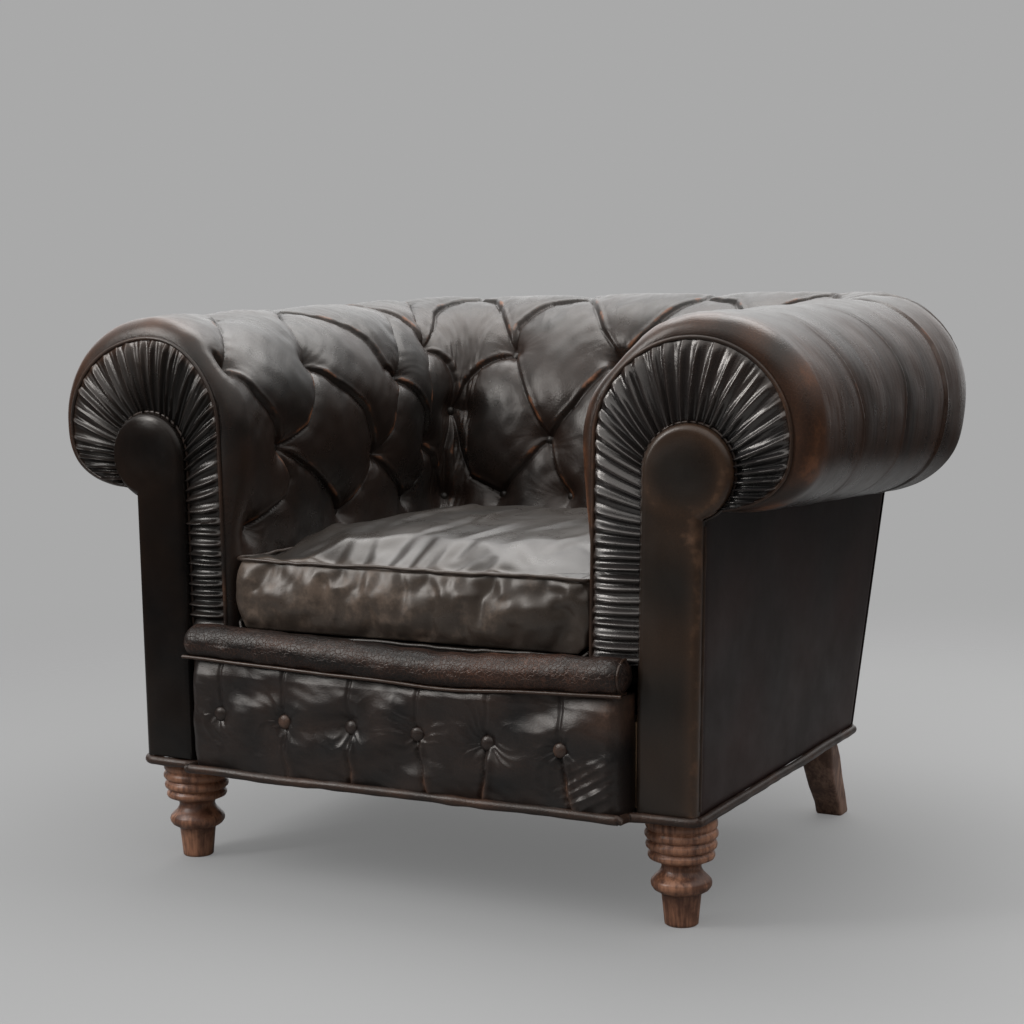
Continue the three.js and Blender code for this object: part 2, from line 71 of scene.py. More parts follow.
bpy.context.scene.camera = camera


def node(tree, kind, feeds=None, **settings):
    """Adds a shader node with these settings. feeds gives each input a value or a node's output."""
    made = tree.nodes.new(kind)
    for name, value in settings.items():
        setattr(made, name, value)
    for name, value in (feeds or {}).items():
        if isinstance(value, bpy.types.NodeSocket):
            tree.links.new(value, made.inputs[name])
        else:
            made.inputs[name].default_value = value
    return made


def ramp(tree, value, low, high, to_low=0.0, to_high=1.0):
    """A smooth step of value from low to high."""
    span = {"Value": value, "From Min": low, "From Max": high, "To Min": to_low, "To Max": to_high}
    return node(tree, "ShaderNodeMapRange", span, interpolation_type="SMOOTHSTEP").outputs[0]


def calc(tree, operation, a, b):
    """One arithmetic node."""
    return node(tree, "ShaderNodeMath", {0: a, 1: b}, operation=operation).outputs[0]


def blank_material(name):
    """A material with nothing in it yet, and its node tree."""
    material = bpy.data.materials.new(name)
    material.use_nodes = True
    material.node_tree.nodes.clear()
    return material, material.node_tree


# The surroundings light the chair from above and from behind on its right, and hardly at all from
# below. The camera sees them as one plain grey.
BACKDROP = 0.397
world = bpy.data.worlds.new("studio")
world.use_nodes = True
sky = world.node_tree
sky.nodes.clear()
direction = node(sky, "ShaderNodeTexCoord").outputs["Generated"]
parts = node(sky, "ShaderNodeSeparateXYZ", {0: direction})
above = ramp(sky, parts.outputs["Z"], 0.15, 0.85, 0.03, 1.2)
behind = ramp(sky, parts.outputs["Y"], 0.1, 0.8, 0.0, 1.2)
rightward = ramp(sky, parts.outputs["X"], 0.35, -0.3, 0.04, 1.0)
risen = ramp(sky, parts.outputs["Z"], -0.12, 0.03)
rear_right = calc(sky, "MULTIPLY", calc(sky, "MULTIPLY", behind, rightward), risen)
light = calc(sky, "ADD", above, rear_right)
seen = node(sky, "ShaderNodeBackground", {"Color": (BACKDROP, BACKDROP, BACKDROP, 1), "Strength": 1.0})
lit = node(sky, "ShaderNodeBackground", {"Color": (1, 1, 1, 1), "Strength": light})
eye = node(sky, "ShaderNodeLightPath").outputs["Is Camera Ray"]
both = node(sky, "ShaderNodeMixShader", {0: eye, 1: lit.outputs[0], 2: seen.outputs[0]})
node(sky, "ShaderNodeOutputWorld", {"Surface": both.outputs[0]})
bpy.context.scene.world = world
bpy.context.scene.view_settings.view_transform = "Standard"

for name, place, target, size, power in (
    ("overhead_softbox", (-0.2, 0.7, 2.6), (0.0, 0.0, 0.4), (2.4, 1.6), 38),
    ("front_softbox", (-1.7, -1.9, 2.3), (0.0, -0.1, 0.4), (1.1, 1.4), 26),
    ("strip_light", (-1.5, -2.0, 1.35), (0.0, -0.1, 0.5), (0.22, 0.9), 11),
):
    lamp = bpy.data.lights.new(name, "AREA")
    lamp.shape = "RECTANGLE"
    lamp.size, lamp.size_y = size
    lamp.energy = power
    holder = bpy.data.objects.new(name, lamp)
    way = np.array(target) - np.array(place)
    tilt = math.atan2(math.hypot(way[0], way[1]), -way[2])
    aim = Euler((tilt, 0, math.atan2(-way[0], way[1]))).to_matrix().to_4x4()
    holder.matrix_world = Matrix.Translation(place) @ aim
    bpy.context.collection.objects.link(holder)

# The floor's own glow is for the camera only, so that it throws no light up under the chair.
FLOOR_REACH = 4.0
FLOOR_GLOW = 0.38  # share of the glow in what the camera sees
floor_mesh = bpy.data.meshes.new("floor")
corner = np.array([(-1, -1, 0), (1, -1, 0), (1, 1, 0), (-1, 1, 0)]) * FLOOR_REACH
floor_mesh.from_pydata(corner.tolist(), [], [(0, 1, 2, 3)])
floor = bpy.data.objects.new("floor", floor_mesh)
bpy.context.collection.objects.link(floor)
floor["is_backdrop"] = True
paper, nodes = blank_material("studio_floor")
spot = node(nodes, "ShaderNodeTexCoord").outputs["Object"]
far = node(nodes, "ShaderNodeVectorMath", {0: spot}, operation="LENGTH").outputs["Value"]
fade = ramp(nodes, far, 0.9, 2.6)
sideways = node(nodes, "ShaderNodeSeparateXYZ", {0: spot}).outputs["X"]
tone = node(nodes, "ShaderNodeMapRange", {"Value": sideways, "From Min": -0.6, "From Max": 1.2,
                                          "To Min": 0.278, "To Max": 0.44})
plain = node(nodes, "ShaderNodeBsdfDiffuse", {"Color": tone.outputs[0]})
to_eye = node(nodes, "ShaderNodeLightPath").outputs["Is Camera Ray"]
glow_strength = calc(nodes, "MULTIPLY", to_eye, BACKDROP)
glow = node(nodes, "ShaderNodeEmission", {"Color": (1, 1, 1, 1), "Strength": glow_strength})
matte = node(nodes, "ShaderNodeMixShader", {0: FLOOR_GLOW, 1: plain.outputs[0], 2: glow.outputs[0]})
gone = node(nodes, "ShaderNodeBsdfTransparent")
cover = node(nodes, "ShaderNodeMixShader", {0: fade, 1: matte.outputs[0], 2: gone.outputs[0]})
node(nodes, "ShaderNodeOutputMaterial", {"Surface": cover.outputs[0]})
floor_mesh.materials.append(paper)

# ---------------------------------------------------------------- buttoned arms and back
# One hide drawn over horsehair stuffing, held by buttons in a diamond pattern whose folds run on
# over the rolled top and down the outside as single pleats. The arms' fronts turn in to a seam.


def closed_net(name, rings, marks=None, crisp=50):
    """A closed skin over rings of points, rings[i, j] being point j of ring i. Neighbouring points
    of neighbouring rings share a four-sided face, each ring joins its own start, and the first and
    last ring are filled. marks are numbers kept at the points; edges sharper than crisp stay sharp."""
    count, around = rings.shape[:2]
    index = np.arange(count * around).reshape(count, around)
    onward = np.roll(index, -1, axis=1)
    quads = np.stack([index[:-1], onward[:-1], onward[1:], index[1:]], -1).reshape(-1, 4)
    points = rings.reshape(-1, 3)
    from_middle = points - points.mean(axis=0)
    a, b, c, d = (from_middle[quads[:, k]] for k in range(4))
    volume = np.einsum("ij,ij->", a, np.cross(b, c)) + np.einsum("ij,ij->", a, np.cross(c, d))
    faces = quads.tolist() + [index[0, ::-1].tolist(), index[-1].tolist()]
    if volume < 0:
        faces = [face[::-1] for face in faces]
    mesh = bpy.data.meshes.new(name)
    mesh.from_pydata(points.tolist(), [], faces)
    for mark, values in (marks or {}).items():
        kept = mesh.attributes.new(mark, "FLOAT", "POINT")
        everywhere = np.broadcast_to(values, (count, around)).astype(np.float32)
        kept.data.foreach_set("value", everywhere.ravel())
    mesh.shade_smooth()
    mesh.set_sharp_from_angle(angle=math.radians(crisp))
    return mesh


def fit(name, mesh, material, replaced=()):
    """Puts a finished mesh on the chair as a piece with its material, hung under the root body."""
    made = bpy.data.objects.new(name, mesh)
    bpy.context.collection.objects.link(made)
    mesh.materials.clear()
    mesh.materials.append(material)
    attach(made, "root")
    if replaced:
        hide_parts(*replaced)
    return made


def hills(u, v, size, seed):
    """Random low hills about size across, mostly from -1 to 1: the mean of twelve sine waves in
    seeded directions, times a constant."""
    draw = np.random.default_rng(seed)
    turn, phase = draw.uniform(0, 2 * np.pi, (2, 12))
    length = size * draw.uniform(0.7, 1.6, 12)
    waves = (u[..., None] * np.cos(turn) + v[..., None] * np.sin(turn)) * 2 * np.pi / length + phase
    return np.sin(waves).mean(axis=-1) * 2.4


def outward(points):
    """Unit normals of a grid of points: the cross product of its two directions."""
    normal = np.cross(np.gradient(points, axis=0), np.gradient(points, axis=1))
    return normal / np.maximum(np.linalg.norm(normal, axis=-1, keepdims=True), 1e-12)


def smooth(x):
    """Rises from 0 to 1 as x goes from 0 to 1, level at both ends: three squares less two cubes."""
    x = np.clip(x, 0, 1)
    return x * x * (3 - 2 * x)


ARM_LEAN, LEAN_FOOT = 0.019, 0.135  # the arms lean out by this share of the height above the foot
BACK_RAKE, SEAT_LEVEL = 0.3, 0.4


def leaned(x, z):
    """x moved outwards with height, as the chair's sides lean."""
    return x + ARM_LEAN * (z - LEAN_FOOT)


def inner_x(z):
    """Half the seat's width between the arms at a height, as a straight line."""
    return leaned(0.246, z)


def inner_y(z):
    """How far back the seat's inside reaches at a height, as a straight line."""
    return 0.149 + BACK_RAKE * (z - SEAT_LEVEL)


ARM_FRONT = -0.362
ARM_RUN = 0.511  # along an arm
CORNER_RUN = 0.236  # round a corner
BACK_RUN = 0.444
HIDE_RUN = 2 * (ARM_RUN + CORNER_RUN) + BACK_RUN
CORNER_R = 0.030

# The section's measures at stations from the arm front to the middle of the back: how far the roll
# reaches out, its top, its lowest line, and where the hide is tacked.
STATIONS = [0, ARM_RUN, ARM_RUN + CORNER_RUN / 4, ARM_RUN + CORNER_RUN / 2,
            ARM_RUN + 0.75 * CORNER_RUN, ARM_RUN + CORNER_RUN, HIDE_RUN / 2]
REACH = [0.263, 0.266, 0.262, 0.254, 0.237, 0.2264, 0.2264]
TOP = [0.704, 0.724, 0.728, 0.731, 0.731, 0.731, 0.731]
LOW = [0.486, 0.466, 0.466, 0.466, 0.466, 0.466, 0.466]
END = [0.145, 0.142, 0.155, 0.191, 0.140, 0.128, 0.128]
ROLL_Z = 0.575  # height of the roll's widest line
SWELL = 0.014  # how far the stuffing leans over the seat
HIDE_FOOT = 0.285
WALL = 0.053  # stuffing inside the frame
UNDER_TURN = np.radians(80)  # how far the roll's underside curves round before it runs straight in
ROLL_SQUARE = 2 / 2.8  # power of the sine and cosine that make that curve squarer than a circle
SEAM_SQUARE = 2 / 2.6  # and of the seam's
HOLLOW_Z, HOLLOW_UP, HOLLOW_DOWN, HOLLOW_FOOT = 0.572, 0.070, 0.058, 0.514


def hide_section(turn, half):
    """The arm's section: (distance out from the seat's inside line, height). turn 0 to 1 goes up the
    inside, 1 to 2 over the half round top, 2 to 3 round the underside, squarer than a circle, and 3
    to 4 back to the tacked edge."""
    reach, top, low, end = (np.interp(half, STATIONS, row) for row in (REACH, TOP, LOW, END))
    middle, radius = (reach - SWELL) / 2, (reach + SWELL) / 2
    up = np.clip(turn, 0, 1)
    z = HIDE_FOOT + (ROLL_Z - HIDE_FOOT) * up
    n = -SWELL * smooth((z - 0.40) / 0.175)
    over = np.pi * (2 - np.clip(turn, 1, 2))
    n = np.where(turn > 1, middle + radius * np.cos(over), n)
    z = np.where(turn > 1, ROLL_Z + (top - ROLL_Z) * np.sin(over), z)
    under = UNDER_TURN * np.clip(turn - 2, 0, 1)
    n_under = np.maximum(middle + radius * np.cos(under) ** ROLL_SQUARE, end + 0.003)
    z_under = ROLL_Z - (ROLL_Z - low) * np.sin(under) ** ROLL_SQUARE
    back = np.clip(turn - 3, 0, 1)
    n = np.where(turn > 2, n_under + (end - n_under) * back, n)
    z = np.where(turn > 2, z_under + (low + 0.002 - z_under) * back, z)
    return n, z


def hollow_section(turn, half):
    """The hollow for the frame inside the section, turn 0 to 3: up from the tacked edge, over a
    rounded top, and down the inner wall."""
    reach, low, end = (np.interp(half, STATIONS, row) for row in (REACH, LOW, END))
    middle = (reach - SWELL) / 2
    radius = middle - WALL
    angle = np.radians(-75 + 255 * np.clip(turn - 1, 0, 1))
    below = angle < 0
    outer = end - 0.006
    n_below = np.maximum(middle + radius * np.abs(np.cos(angle)) ** SEAM_SQUARE, outer)
    n = np.where(below, n_below, middle + radius * np.cos(angle))
    z_below = HOLLOW_Z - HOLLOW_DOWN * np.abs(np.sin(angle)) ** SEAM_SQUARE
    z = np.where(below, z_below, HOLLOW_Z + HOLLOW_UP * np.sin(angle))
    rise = np.clip(turn, 0, 1)
    n = np.where(turn < 1, outer, n)
    z = np.where(turn < 1, low + 0.003 + (HOLLOW_FOOT - low - 0.003) * rise, z)
    fall = HOLLOW_Z + (HIDE_FOOT - HOLLOW_Z) * np.clip(turn - 2, 0, 1)
    return np.where(turn > 2, WALL, n), np.where(turn > 2, fall, z)


def placed(run, n, z):
    """Where a section point lies when the section stands at run along the seat's inside line:
    straight back along an arm, a quarter turn about the inner corner, and across the back."""
    half = np.minimum(run, HIDE_RUN - run)
    side = np.where(run < HIDE_RUN / 2, -1, 1)
    cx, cy = inner_x(z) - CORNER_R, inner_y(z) - CORNER_R
    turn = np.clip((half - ARM_RUN) / CORNER_RUN, 0, 1) * np.pi / 2
    on_arm = half < ARM_RUN
    x = np.where(on_arm, inner_x(z) + n, cx + (CORNER_R + n) * np.cos(turn))
    along_arm = ARM_FRONT + (cy - ARM_FRONT) * half / ARM_RUN
    y = np.where(on_arm, along_arm, cy + (CORNER_R + n) * np.sin(turn))
    on_back = half > ARM_RUN + CORNER_RUN
    x = np.where(on_back, cx * (1 - (half - ARM_RUN - CORNER_RUN) / (BACK_RUN / 2)), x)
    y = np.where(on_back, inner_y(z) + n, y)
    return np.stack([side * x, y, z], -1)


HEAD_N, HEAD_Z = 0.1186, 0.565  # middle of the arm front's round head
SEAM_OUT, SEAM_UP, SEAM_DOWN = 0.1182, 0.115, 0.077
RIM = 0.030  # how far the hide turns in at the arm front
RIGHT_SEAM_IN = 0.013  # the right arm's inner seam was sewn this much further out
RIGHT_SEAM_OUT = 0.010  # and so was its outer seam


def sewn(side, n):
    """The seam's distance out on each arm: on the sitter's right both its edges stand further out."""
    inner = RIGHT_SEAM_IN * smooth((HEAD_N - n) / HEAD_N)
    outer = RIGHT_SEAM_OUT * smooth((n - HEAD_N) / SEAM_OUT)
    return n + np.where(side < 0, inner + outer, 0)


def seam_section(turn):
    """The seam of the arm front, matched to hide_section's turn: straight up, half an ellipse over
    the head, and a squarer quarter below it."""
    n = np.full_like(turn, HEAD_N - SEAM_OUT)
    z = HIDE_FOOT + (HEAD_Z - HIDE_FOOT) * np.clip(turn, 0, 1)
    over = np.pi * (2 - np.clip(turn, 1, 2))
    n = np.where(turn > 1, HEAD_N + SEAM_OUT * np.cos(over), n)
    z = np.where(turn > 1, HEAD_Z + SEAM_UP * np.sin(over), z)
    under = UNDER_TURN * np.clip(turn - 2, 0, 1)
    n = np.where(turn > 2, HEAD_N + SEAM_OUT * np.cos(under) ** SEAM_SQUARE, n)
    return n, np.where(turn > 2, HEAD_Z - SEAM_DOWN * np.sin(under) ** SEAM_SQUARE, z)


# Distance up the section, in millimetres from the foot, against its turn.
CLIMB = [0, 290, 725, 884, 904]
TURNS = [0, 1, 2, 3, 4]
WHOLE_RUN = 1000 * HIDE_RUN  # in millimetres

# Buttons, as (run, climb) in millimetres on the sitter's right half; the other half is the same.
TUFTS = [(6, 378), (175, 371), (379, 335), (480, 383), (795, 367), (969, 360),
         (90, 248), (330, 220), (473, 226), (601, 280), (874, 240),
         (25, 148), (260, 148), (440, 151), (633, 151), (800, 158), (915, 158)]

# Folds between the buttons, over the top, and the single pleats down the outside.
FOLDS = [
    [(0, 400), (6, 378)], [(6, 378), (15, 392), (39, 426), (80, 484), (100, 495)],
    [(6, 378), (33, 325), (64, 288), (90, 248)], [(90, 248), (140, 275), (160, 318), (175, 371)],
    [(175, 371), (180, 414), (199, 463), (245, 508)], [(175, 371), (210, 335), (277, 290), (330, 220)],
    [(90, 248), (167, 208), (260, 148)], [(90, 248), (112, 207), (100, 181), (25, 148)],
    [(379, 335), (342, 352), (324, 397), (300, 435), (245, 508)],
    [(379, 335), (366, 300), (360, 258), (330, 220)],
    [(379, 335), (422, 303), (446, 280), (473, 226)], [(379, 335), (400, 400), (432, 450), (440, 500)],
    [(480, 383), (466, 430), (440, 500)],
    [(480, 383), (489, 430), (555, 501)], [(480, 383), (454, 340), (461, 290), (473, 226)],
    [(480, 383), (520, 350), (570, 320), (601, 280)],
    [(480, 383), (564, 441), (613, 471), (680, 506)],
    [(601, 280), (659, 318), (745, 340), (795, 367)], [(795, 367), (764, 414), (706, 490), (680, 506)],
    [(795, 367), (792, 409), (804, 435), (824, 469), (875, 494)],
    [(795, 367), (828, 312), (853, 272), (874, 240)], [(874, 240), (918, 290), (969, 360)],
    [(969, 360), (929, 403), (895, 460), (875, 494)],
    [(601, 280), (679, 222), (749, 180), (800, 158)], [(601, 280), (570, 220), (633, 151)],
    [(473, 226), (479, 192), (440, 151)], [(473, 226), (525, 189), (633, 151)],
    [(874, 240), (840, 198), (800, 158)], [(874, 240), (891, 193), (915, 158)],
    [(330, 220), (300, 180), (260, 148)], [(330, 220), (388, 184), (440, 151)],
    [(100, 495), (104, 600), (116, 665), (128, 720), (124, 776), (134, 860)],
    [(245, 508), (272, 580), (290, 640), (292, 680), (280, 740), (262, 860)],
    [(440, 500), (436, 580), (446, 640), (446, 720), (436, 780), (430, 860)],
    [(555, 501), (548, 600), (560, 700), (555, 860)], [(680, 506), (686, 600), (674, 700), (680, 860)],
    [(875, 494), (868, 600), (880, 700), (872, 860)],
]

# The grid the hide is worked out on. Past each arm front it runs on over the turned-in rim.
RIM_MM = 45
climb_mm = np.concatenate([np.linspace(0, 884, 400), [890, 897, 904]])
rim = RIM_MM * np.linspace(90, 0, 15)[:-1] / 90
run_mm = np.concatenate([-rim, np.linspace(0, WHOLE_RUN, 860), WHOLE_RUN + rim[::-1]])
run_grid, climb = np.meshgrid(run_mm, climb_mm, indexing="ij")
on_right = run_grid < WHOLE_RUN / 2
turn_grid = np.broadcast_to(np.interp(climb_mm, CLIMB, TURNS), climb.shape)
on_hide = np.clip(run_grid, 0, WHOLE_RUN) / 1000
half = np.minimum(on_hide, HIDE_RUN - on_hide)
body = placed(on_hide, *hide_section(turn_grid, half))
past_front = np.abs(run_grid - np.clip(run_grid, 0, WHOLE_RUN))
turned_in = np.radians(np.clip(past_front * 90 / RIM_MM, 0, 90))
seam_n, seam_z = seam_section(turn_grid)
side = np.where(on_right, -1, 1)
seam_x = side * (inner_x(seam_z) + sewn(side, seam_n))
inward = 1 - np.cos(turned_in)
body[..., 0] += (seam_x - body[..., 0]) * inward
body[..., 2] += (seam_z - body[..., 2]) * inward
body[..., 1] -= RIM * np.sin(turned_in)


def mirrored(spots):
    """The same spots on the other half, where run counts from the other arm."""
    return [(WHOLE_RUN - r, c) for r, c in spots]


def hide_point(run, climb):
    """The hide's unstuffed surface at run and climb, in millimetres."""
    on = np.asarray(run, float) / 1000
    half = np.minimum(on, HIDE_RUN - on)
    return placed(on, *hide_section(np.interp(climb, CLIMB, TURNS), half))


def stuffed(body, run, climb):
    """How far the stuffing lifts the hide, with marks for its folds. Away from the folds it swells
    half like a quarter circle and half like a power of the distance to them, where all folds'
    distances are pooled by a power mean so that corners stay soft. The distance counts for more on
    one side of a fold, which laps over the other. Buttons press dimples, and fine creases spread
    from each button."""
    starts, ends, over = [], [], []
    for line in FOLDS + [mirrored(line) for line in FOLDS]:
        halved = [np.linspace(a, b, 3)[:-1] for a, b in zip(line[:-1], line[1:])]
        fine = np.concatenate(halved + [[line[-1]]])
        starts.append(fine[:-1])
        ends.append(fine[1:])
        over += [1 if line[-1][0] >= line[0][0] else -1] * (len(fine) - 1)
    starts, ends = np.concatenate(starts), np.concatenate(ends)
    a3, b3 = hide_point(*starts.T), hide_point(*ends.T)
    flat = body.reshape(-1, 3)
    pooled = np.zeros(len(flat))
    nearest = np.full(len(flat), 1.0)
    lap = np.zeros(len(flat))
    here = np.stack([run.ravel(), climb.ravel()], -1)
    for a, b, low, line, way in zip(a3, b3, starts, ends - starts, over):
        along = b - a
        share = np.clip((flat - a) @ along / (along @ along), 0, 1)
        gap = np.linalg.norm(flat - a - share[:, None] * along, axis=1)
        spot = here - low
        foot = np.clip(spot @ line / (line @ line), 0, 1)
        aside = way * (line[0] * spot[:, 1] - line[1] * spot[:, 0]) / np.linalg.norm(line)
        aside /= np.linalg.norm(spot - foot[:, None] * line, axis=1) + 0.6
        pooled += (gap * (1 + 0.45 * aside) + 0.0006) ** -4.0
        closer = gap < nearest
        nearest = np.where(closer, gap, nearest)
        lap = np.where(closer, aside, lap)
    pooled = (pooled ** -0.25).reshape(run.shape)
    nearest, lap = nearest.reshape(run.shape), lap.reshape(run.shape)
    outside = smooth((climb - 480) / 90)
    depth = 0.0125 - 0.0110 * outside
    width = 0.068 - 0.054 * outside
    short = 1 - np.minimum(pooled / width, 1)
    quarter_circle = 1 - np.sqrt(np.maximum(1 - short ** 2, 0))
    lift = -depth * (0.5 * quarter_circle + 0.5 * short ** 2.4)
    shade = np.zeros(run.shape)
    fine = np.zeros(run.shape)
    for k, (r, c) in enumerate(TUFTS + mirrored(TUFTS[:-1])):
        middle = hide_point(r, c)
        away = np.linalg.norm(body - middle, axis=-1)
        angle = np.arctan2(climb - c, run - r)
        lift -= 0.011 * np.exp(-((away / 0.018) ** 2)) + 0.007 * np.exp(-((away / 0.055) ** 2))
        spokes = 1 - np.abs(np.sin(angle * 4.5 + 5 * hills(angle, away * 20, 2.5, 40 + k)))
        fine += 0.0011 * spokes * np.exp(-away / 0.028) * (1 - np.exp(-((away / 0.010) ** 2)))
        shade = np.maximum(shade, np.exp(-((away / 0.03) ** 2)))
    lift += 0.0040 + fine
    crisp = 1 - 0.15 * outside
    lift -= 0.0026 * crisp * np.exp(-((nearest / 0.0023) ** 2))
    lift += crisp * (0.0006 + 0.0013 * lap) * np.exp(-(((nearest - 0.0055) / 0.0040) ** 2))
    return lift, nearest, lap, shade


lift, fold_gap, lap, near_button = stuffed(body, run_grid, climb)
over_top = smooth((climb - 380) / 70)
calm = smooth((climb - 490) / 90)
broad_hills = 0.0010 * (1 - 0.4 * calm) * hills(run_grid, climb, 75, 3)
small_hills = 0.0004 * (1 - 0.8 * calm) * hills(run_grid, climb, 26, 4)
lift += broad_hills + small_hills
# The stuffing has been pushed into a bulge at the front of the left arm.
pushed = 0.0085 * np.exp(-(((WHOLE_RUN - run_grid) / 70) ** 2))
lift += pushed * smooth((climb - 100) / 60) * smooth((430 - climb) / 110)
# Fine drag marks in the hide: strong over the top, faint on the outside.
streaks = 1 - np.abs(hills(run_grid + 0.15 * climb, climb * 0.10, 26, 5))
lift += 0.0006 * over_top * (1 - 0.80 * calm) * (np.clip(streaks, 0, 1) ** 3 - 0.35)
fine_streaks = 1 - np.abs(hills(run_grid - 0.1 * climb, climb * 0.10, 13, 6))
lift += 0.00016 * calm * (np.clip(fine_streaks, 0, 1) ** 2 - 0.3)
lift *= np.cos(turned_in) ** 1.2 * smooth((905 - climb) / 45)
lift = np.where(climb < 130, np.minimum(lift, 0.0005 + 0.004 * smooth((climb - 115) / 15)), lift)
normal = outward(body)
normal *= np.sign(normal[len(body) // 2, np.argmin(np.abs(climb_mm - 508)), 2])
skin = body + lift[..., None] * normal

hollow_turn = np.linspace(0, 3, 46)
hollow_half = np.broadcast_to(half[:, :1], (len(skin), 46))
hollow_n, hollow_z = hollow_section(np.broadcast_to(hollow_turn, hollow_half.shape), hollow_half)
at_rim = turned_in[:, :1] > 0
# At the rim the hollow opens out to the edge of the scroll board that the hide is nailed over.
BOARD_OUT, BOARD_UP, BOARD_DOWN = 0.1106, 0.1076, 0.0706
board_over = np.radians(-75 + 255 * np.clip(hollow_turn - 1, 0, 1))
c, s = np.cos(board_over), np.sin(board_over)
board_n = HEAD_N + BOARD_OUT * np.where(board_over < 0, np.abs(c) ** SEAM_SQUARE, c)
board_z = HEAD_Z + np.where(board_over < 0, -BOARD_DOWN * np.abs(s) ** SEAM_SQUARE, BOARD_UP * s)
at_board = at_rim & (hollow_turn >= 1) & (hollow_turn < 2.5)
hollow_n = np.where(at_board, board_n, hollow_n)
hollow_z = np.where(at_board, board_z, hollow_z)
hollow = placed(np.broadcast_to(on_hide[:, :1], hollow_n.shape), hollow_n, hollow_z)
hollow[..., 1] = np.where(at_rim, skin[:, :1, 1], hollow[..., 1])
rings = np.concatenate([skin, hollow], axis=1)
tucked = rings[[0, -1]].copy()
tucked[..., 1] += 0.005
rings = np.concatenate([tucked[:1], rings, tucked[1:]])


def spread(values):
    """The hide's values, with noughts over the hollow; each tucked end is like the ring beside it."""
    full = np.zeros(rings.shape[:2])
    full[1:-1, : skin.shape[1]] = values
    full[[0, -1]] = full[[1, -2]]
    return full


# Where the dye has gone: in patches beside the folds, round the arm fronts and over the outer roll.
patches = np.clip(0.50 + 1.1 * hills(run_grid, climb, 55, 7), 0, 1)
beside_fold = np.exp(-(((fold_gap - 0.0060) / 0.0042) ** 2))
fold_mark = beside_fold * patches * (0.65 + 0.35 * lap) * (0.45 + 0.55 * smooth((560 - climb) / 120))
across = np.where(on_right, run_grid, WHOLE_RUN - run_grid)
share = np.where(on_right, 0.12 + 0.55 * smooth((climb - 420) / 60), 0.85)
rim_rub = share * np.exp(-(((across + 14) / 22) ** 2)) * (0.72 + 0.5 * hills(run_grid, climb, 80, 8))
foot_rub = share * np.exp(-(((across + 5) / 36) ** 2)) * smooth((330 - climb) / 120)
drag = hills(run_grid - 0.08 * climb, climb * 0.07, 12, 10)
outer_rub = 0.30 + 0.20 * hills(run_grid, climb * 0.4, 90, 9) + 0.08 * drag
outer_rub *= smooth((climb - 540) / 90)
outer_rub *= smooth((860 - climb) / 120)
rub_mark = np.clip(rim_rub + 0.6 * foot_rub + outer_rub + 0.10 * near_button, 0, 1)
hide_marks = {"fold": spread(fold_mark), "rub_and_painted_light": spread(rub_mark)}
hide_mesh = closed_net("buttoned_hide", rings, hide_marks, crisp=70)


def group(name, inputs, outputs):
    """An empty node group: (tree, input sockets, output node)."""
    tree = bpy.data.node_groups.new(name, "ShaderNodeTree")
    for label, kind, value in inputs:
        socket = tree.interface.new_socket(label, in_out="INPUT", socket_type=kind)
        if value is not None:
            socket.default_value = value
    for label, kind in outputs:
        tree.interface.new_socket(label, in_out="OUTPUT", socket_type=kind)
    return tree, tree.nodes.new("NodeGroupInput").outputs, tree.nodes.new("NodeGroupOutput")


def mixed(tree, share, a, b):
    """Colour a going over to colour b by share."""
    return node(tree, "ShaderNodeMix", {0: share, 6: a, 7: b}, data_type="RGBA").outputs[2]


def noise(tree, place, scale, detail=4.0, roughness=0.55):
    """Cloudy noise from 0 to 1."""
    look = {"Vector": place, "Scale": scale, "Detail": detail, "Roughness": roughness}
    return node(tree, "ShaderNodeTexNoise", look).outputs[0]


def uneven(tree, cloudy, amount):
    """Cloudy noise made to swing about nought by up to half of amount each way."""
    return calc(tree, "MULTIPLY", calc(tree, "SUBTRACT", cloudy, 0.5), amount)


# Old oil-tanned hide: pores, a net of fine cracks, cloudy dye, and the brown flesh colour showing
# where the dye has rubbed away along folds and edges. On some pieces the Dye and Rub inputs also
# carry painted light and painted shade.
hide_wear, given, result = group("worn_hide", [
    ("Place", "NodeSocketVector", None),
    ("Fold", "NodeSocketFloat", 0.0),
    ("Rub", "NodeSocketFloat", 0.0),
    ("Dye", "NodeSocketColor", (0.012, 0.010, 0.009, 1)),
    ("Bare", "NodeSocketColor", (0.20, 0.085, 0.040, 1)),
    ("Cracks", "NodeSocketFloat", 0.3),
    ("Gloss", "NodeSocketFloat", 0.34)],
    [("Color", "NodeSocketColor"), ("Roughness", "NodeSocketFloat"), ("Height", "NodeSocketFloat")])
cloud = noise(hide_wear, given["Place"], 7.0, 3.0)
scuff = noise(hide_wear, given["Place"], 42.0, 8.0, 0.68)
patch = noise(hide_wear, given["Place"], 16.0, 5.0, 0.62)
wander = node(hide_wear, "ShaderNodeTexNoise", {"Vector": given["Place"], "Scale": 60.0, "Detail": 3.0})
wander = node(hide_wear, "ShaderNodeVectorMath", {0: wander.outputs["Color"], 1: (0.012, 0.012, 0.012)},
              operation="MULTIPLY")
bent = node(hide_wear, "ShaderNodeVectorMath", {0: given["Place"], 1: wander.outputs[0]},
            operation="ADD").outputs[0]
crack_edge = node(hide_wear, "ShaderNodeTexVoronoi", {"Vector": bent, "Scale": 175.0},
                  feature="DISTANCE_TO_EDGE").outputs["Distance"]
crack = calc(hide_wear, "MULTIPLY", ramp(hide_wear, crack_edge, 0.0, 0.10, 1.0, 0.0), given["Cracks"])
pore = node(hide_wear, "ShaderNodeTexVoronoi", {"Vector": given["Place"], "Scale": 620.0})
pore = pore.outputs["Distance"]
rubbed = calc(hide_wear, "MULTIPLY", given["Rub"], 0.62)
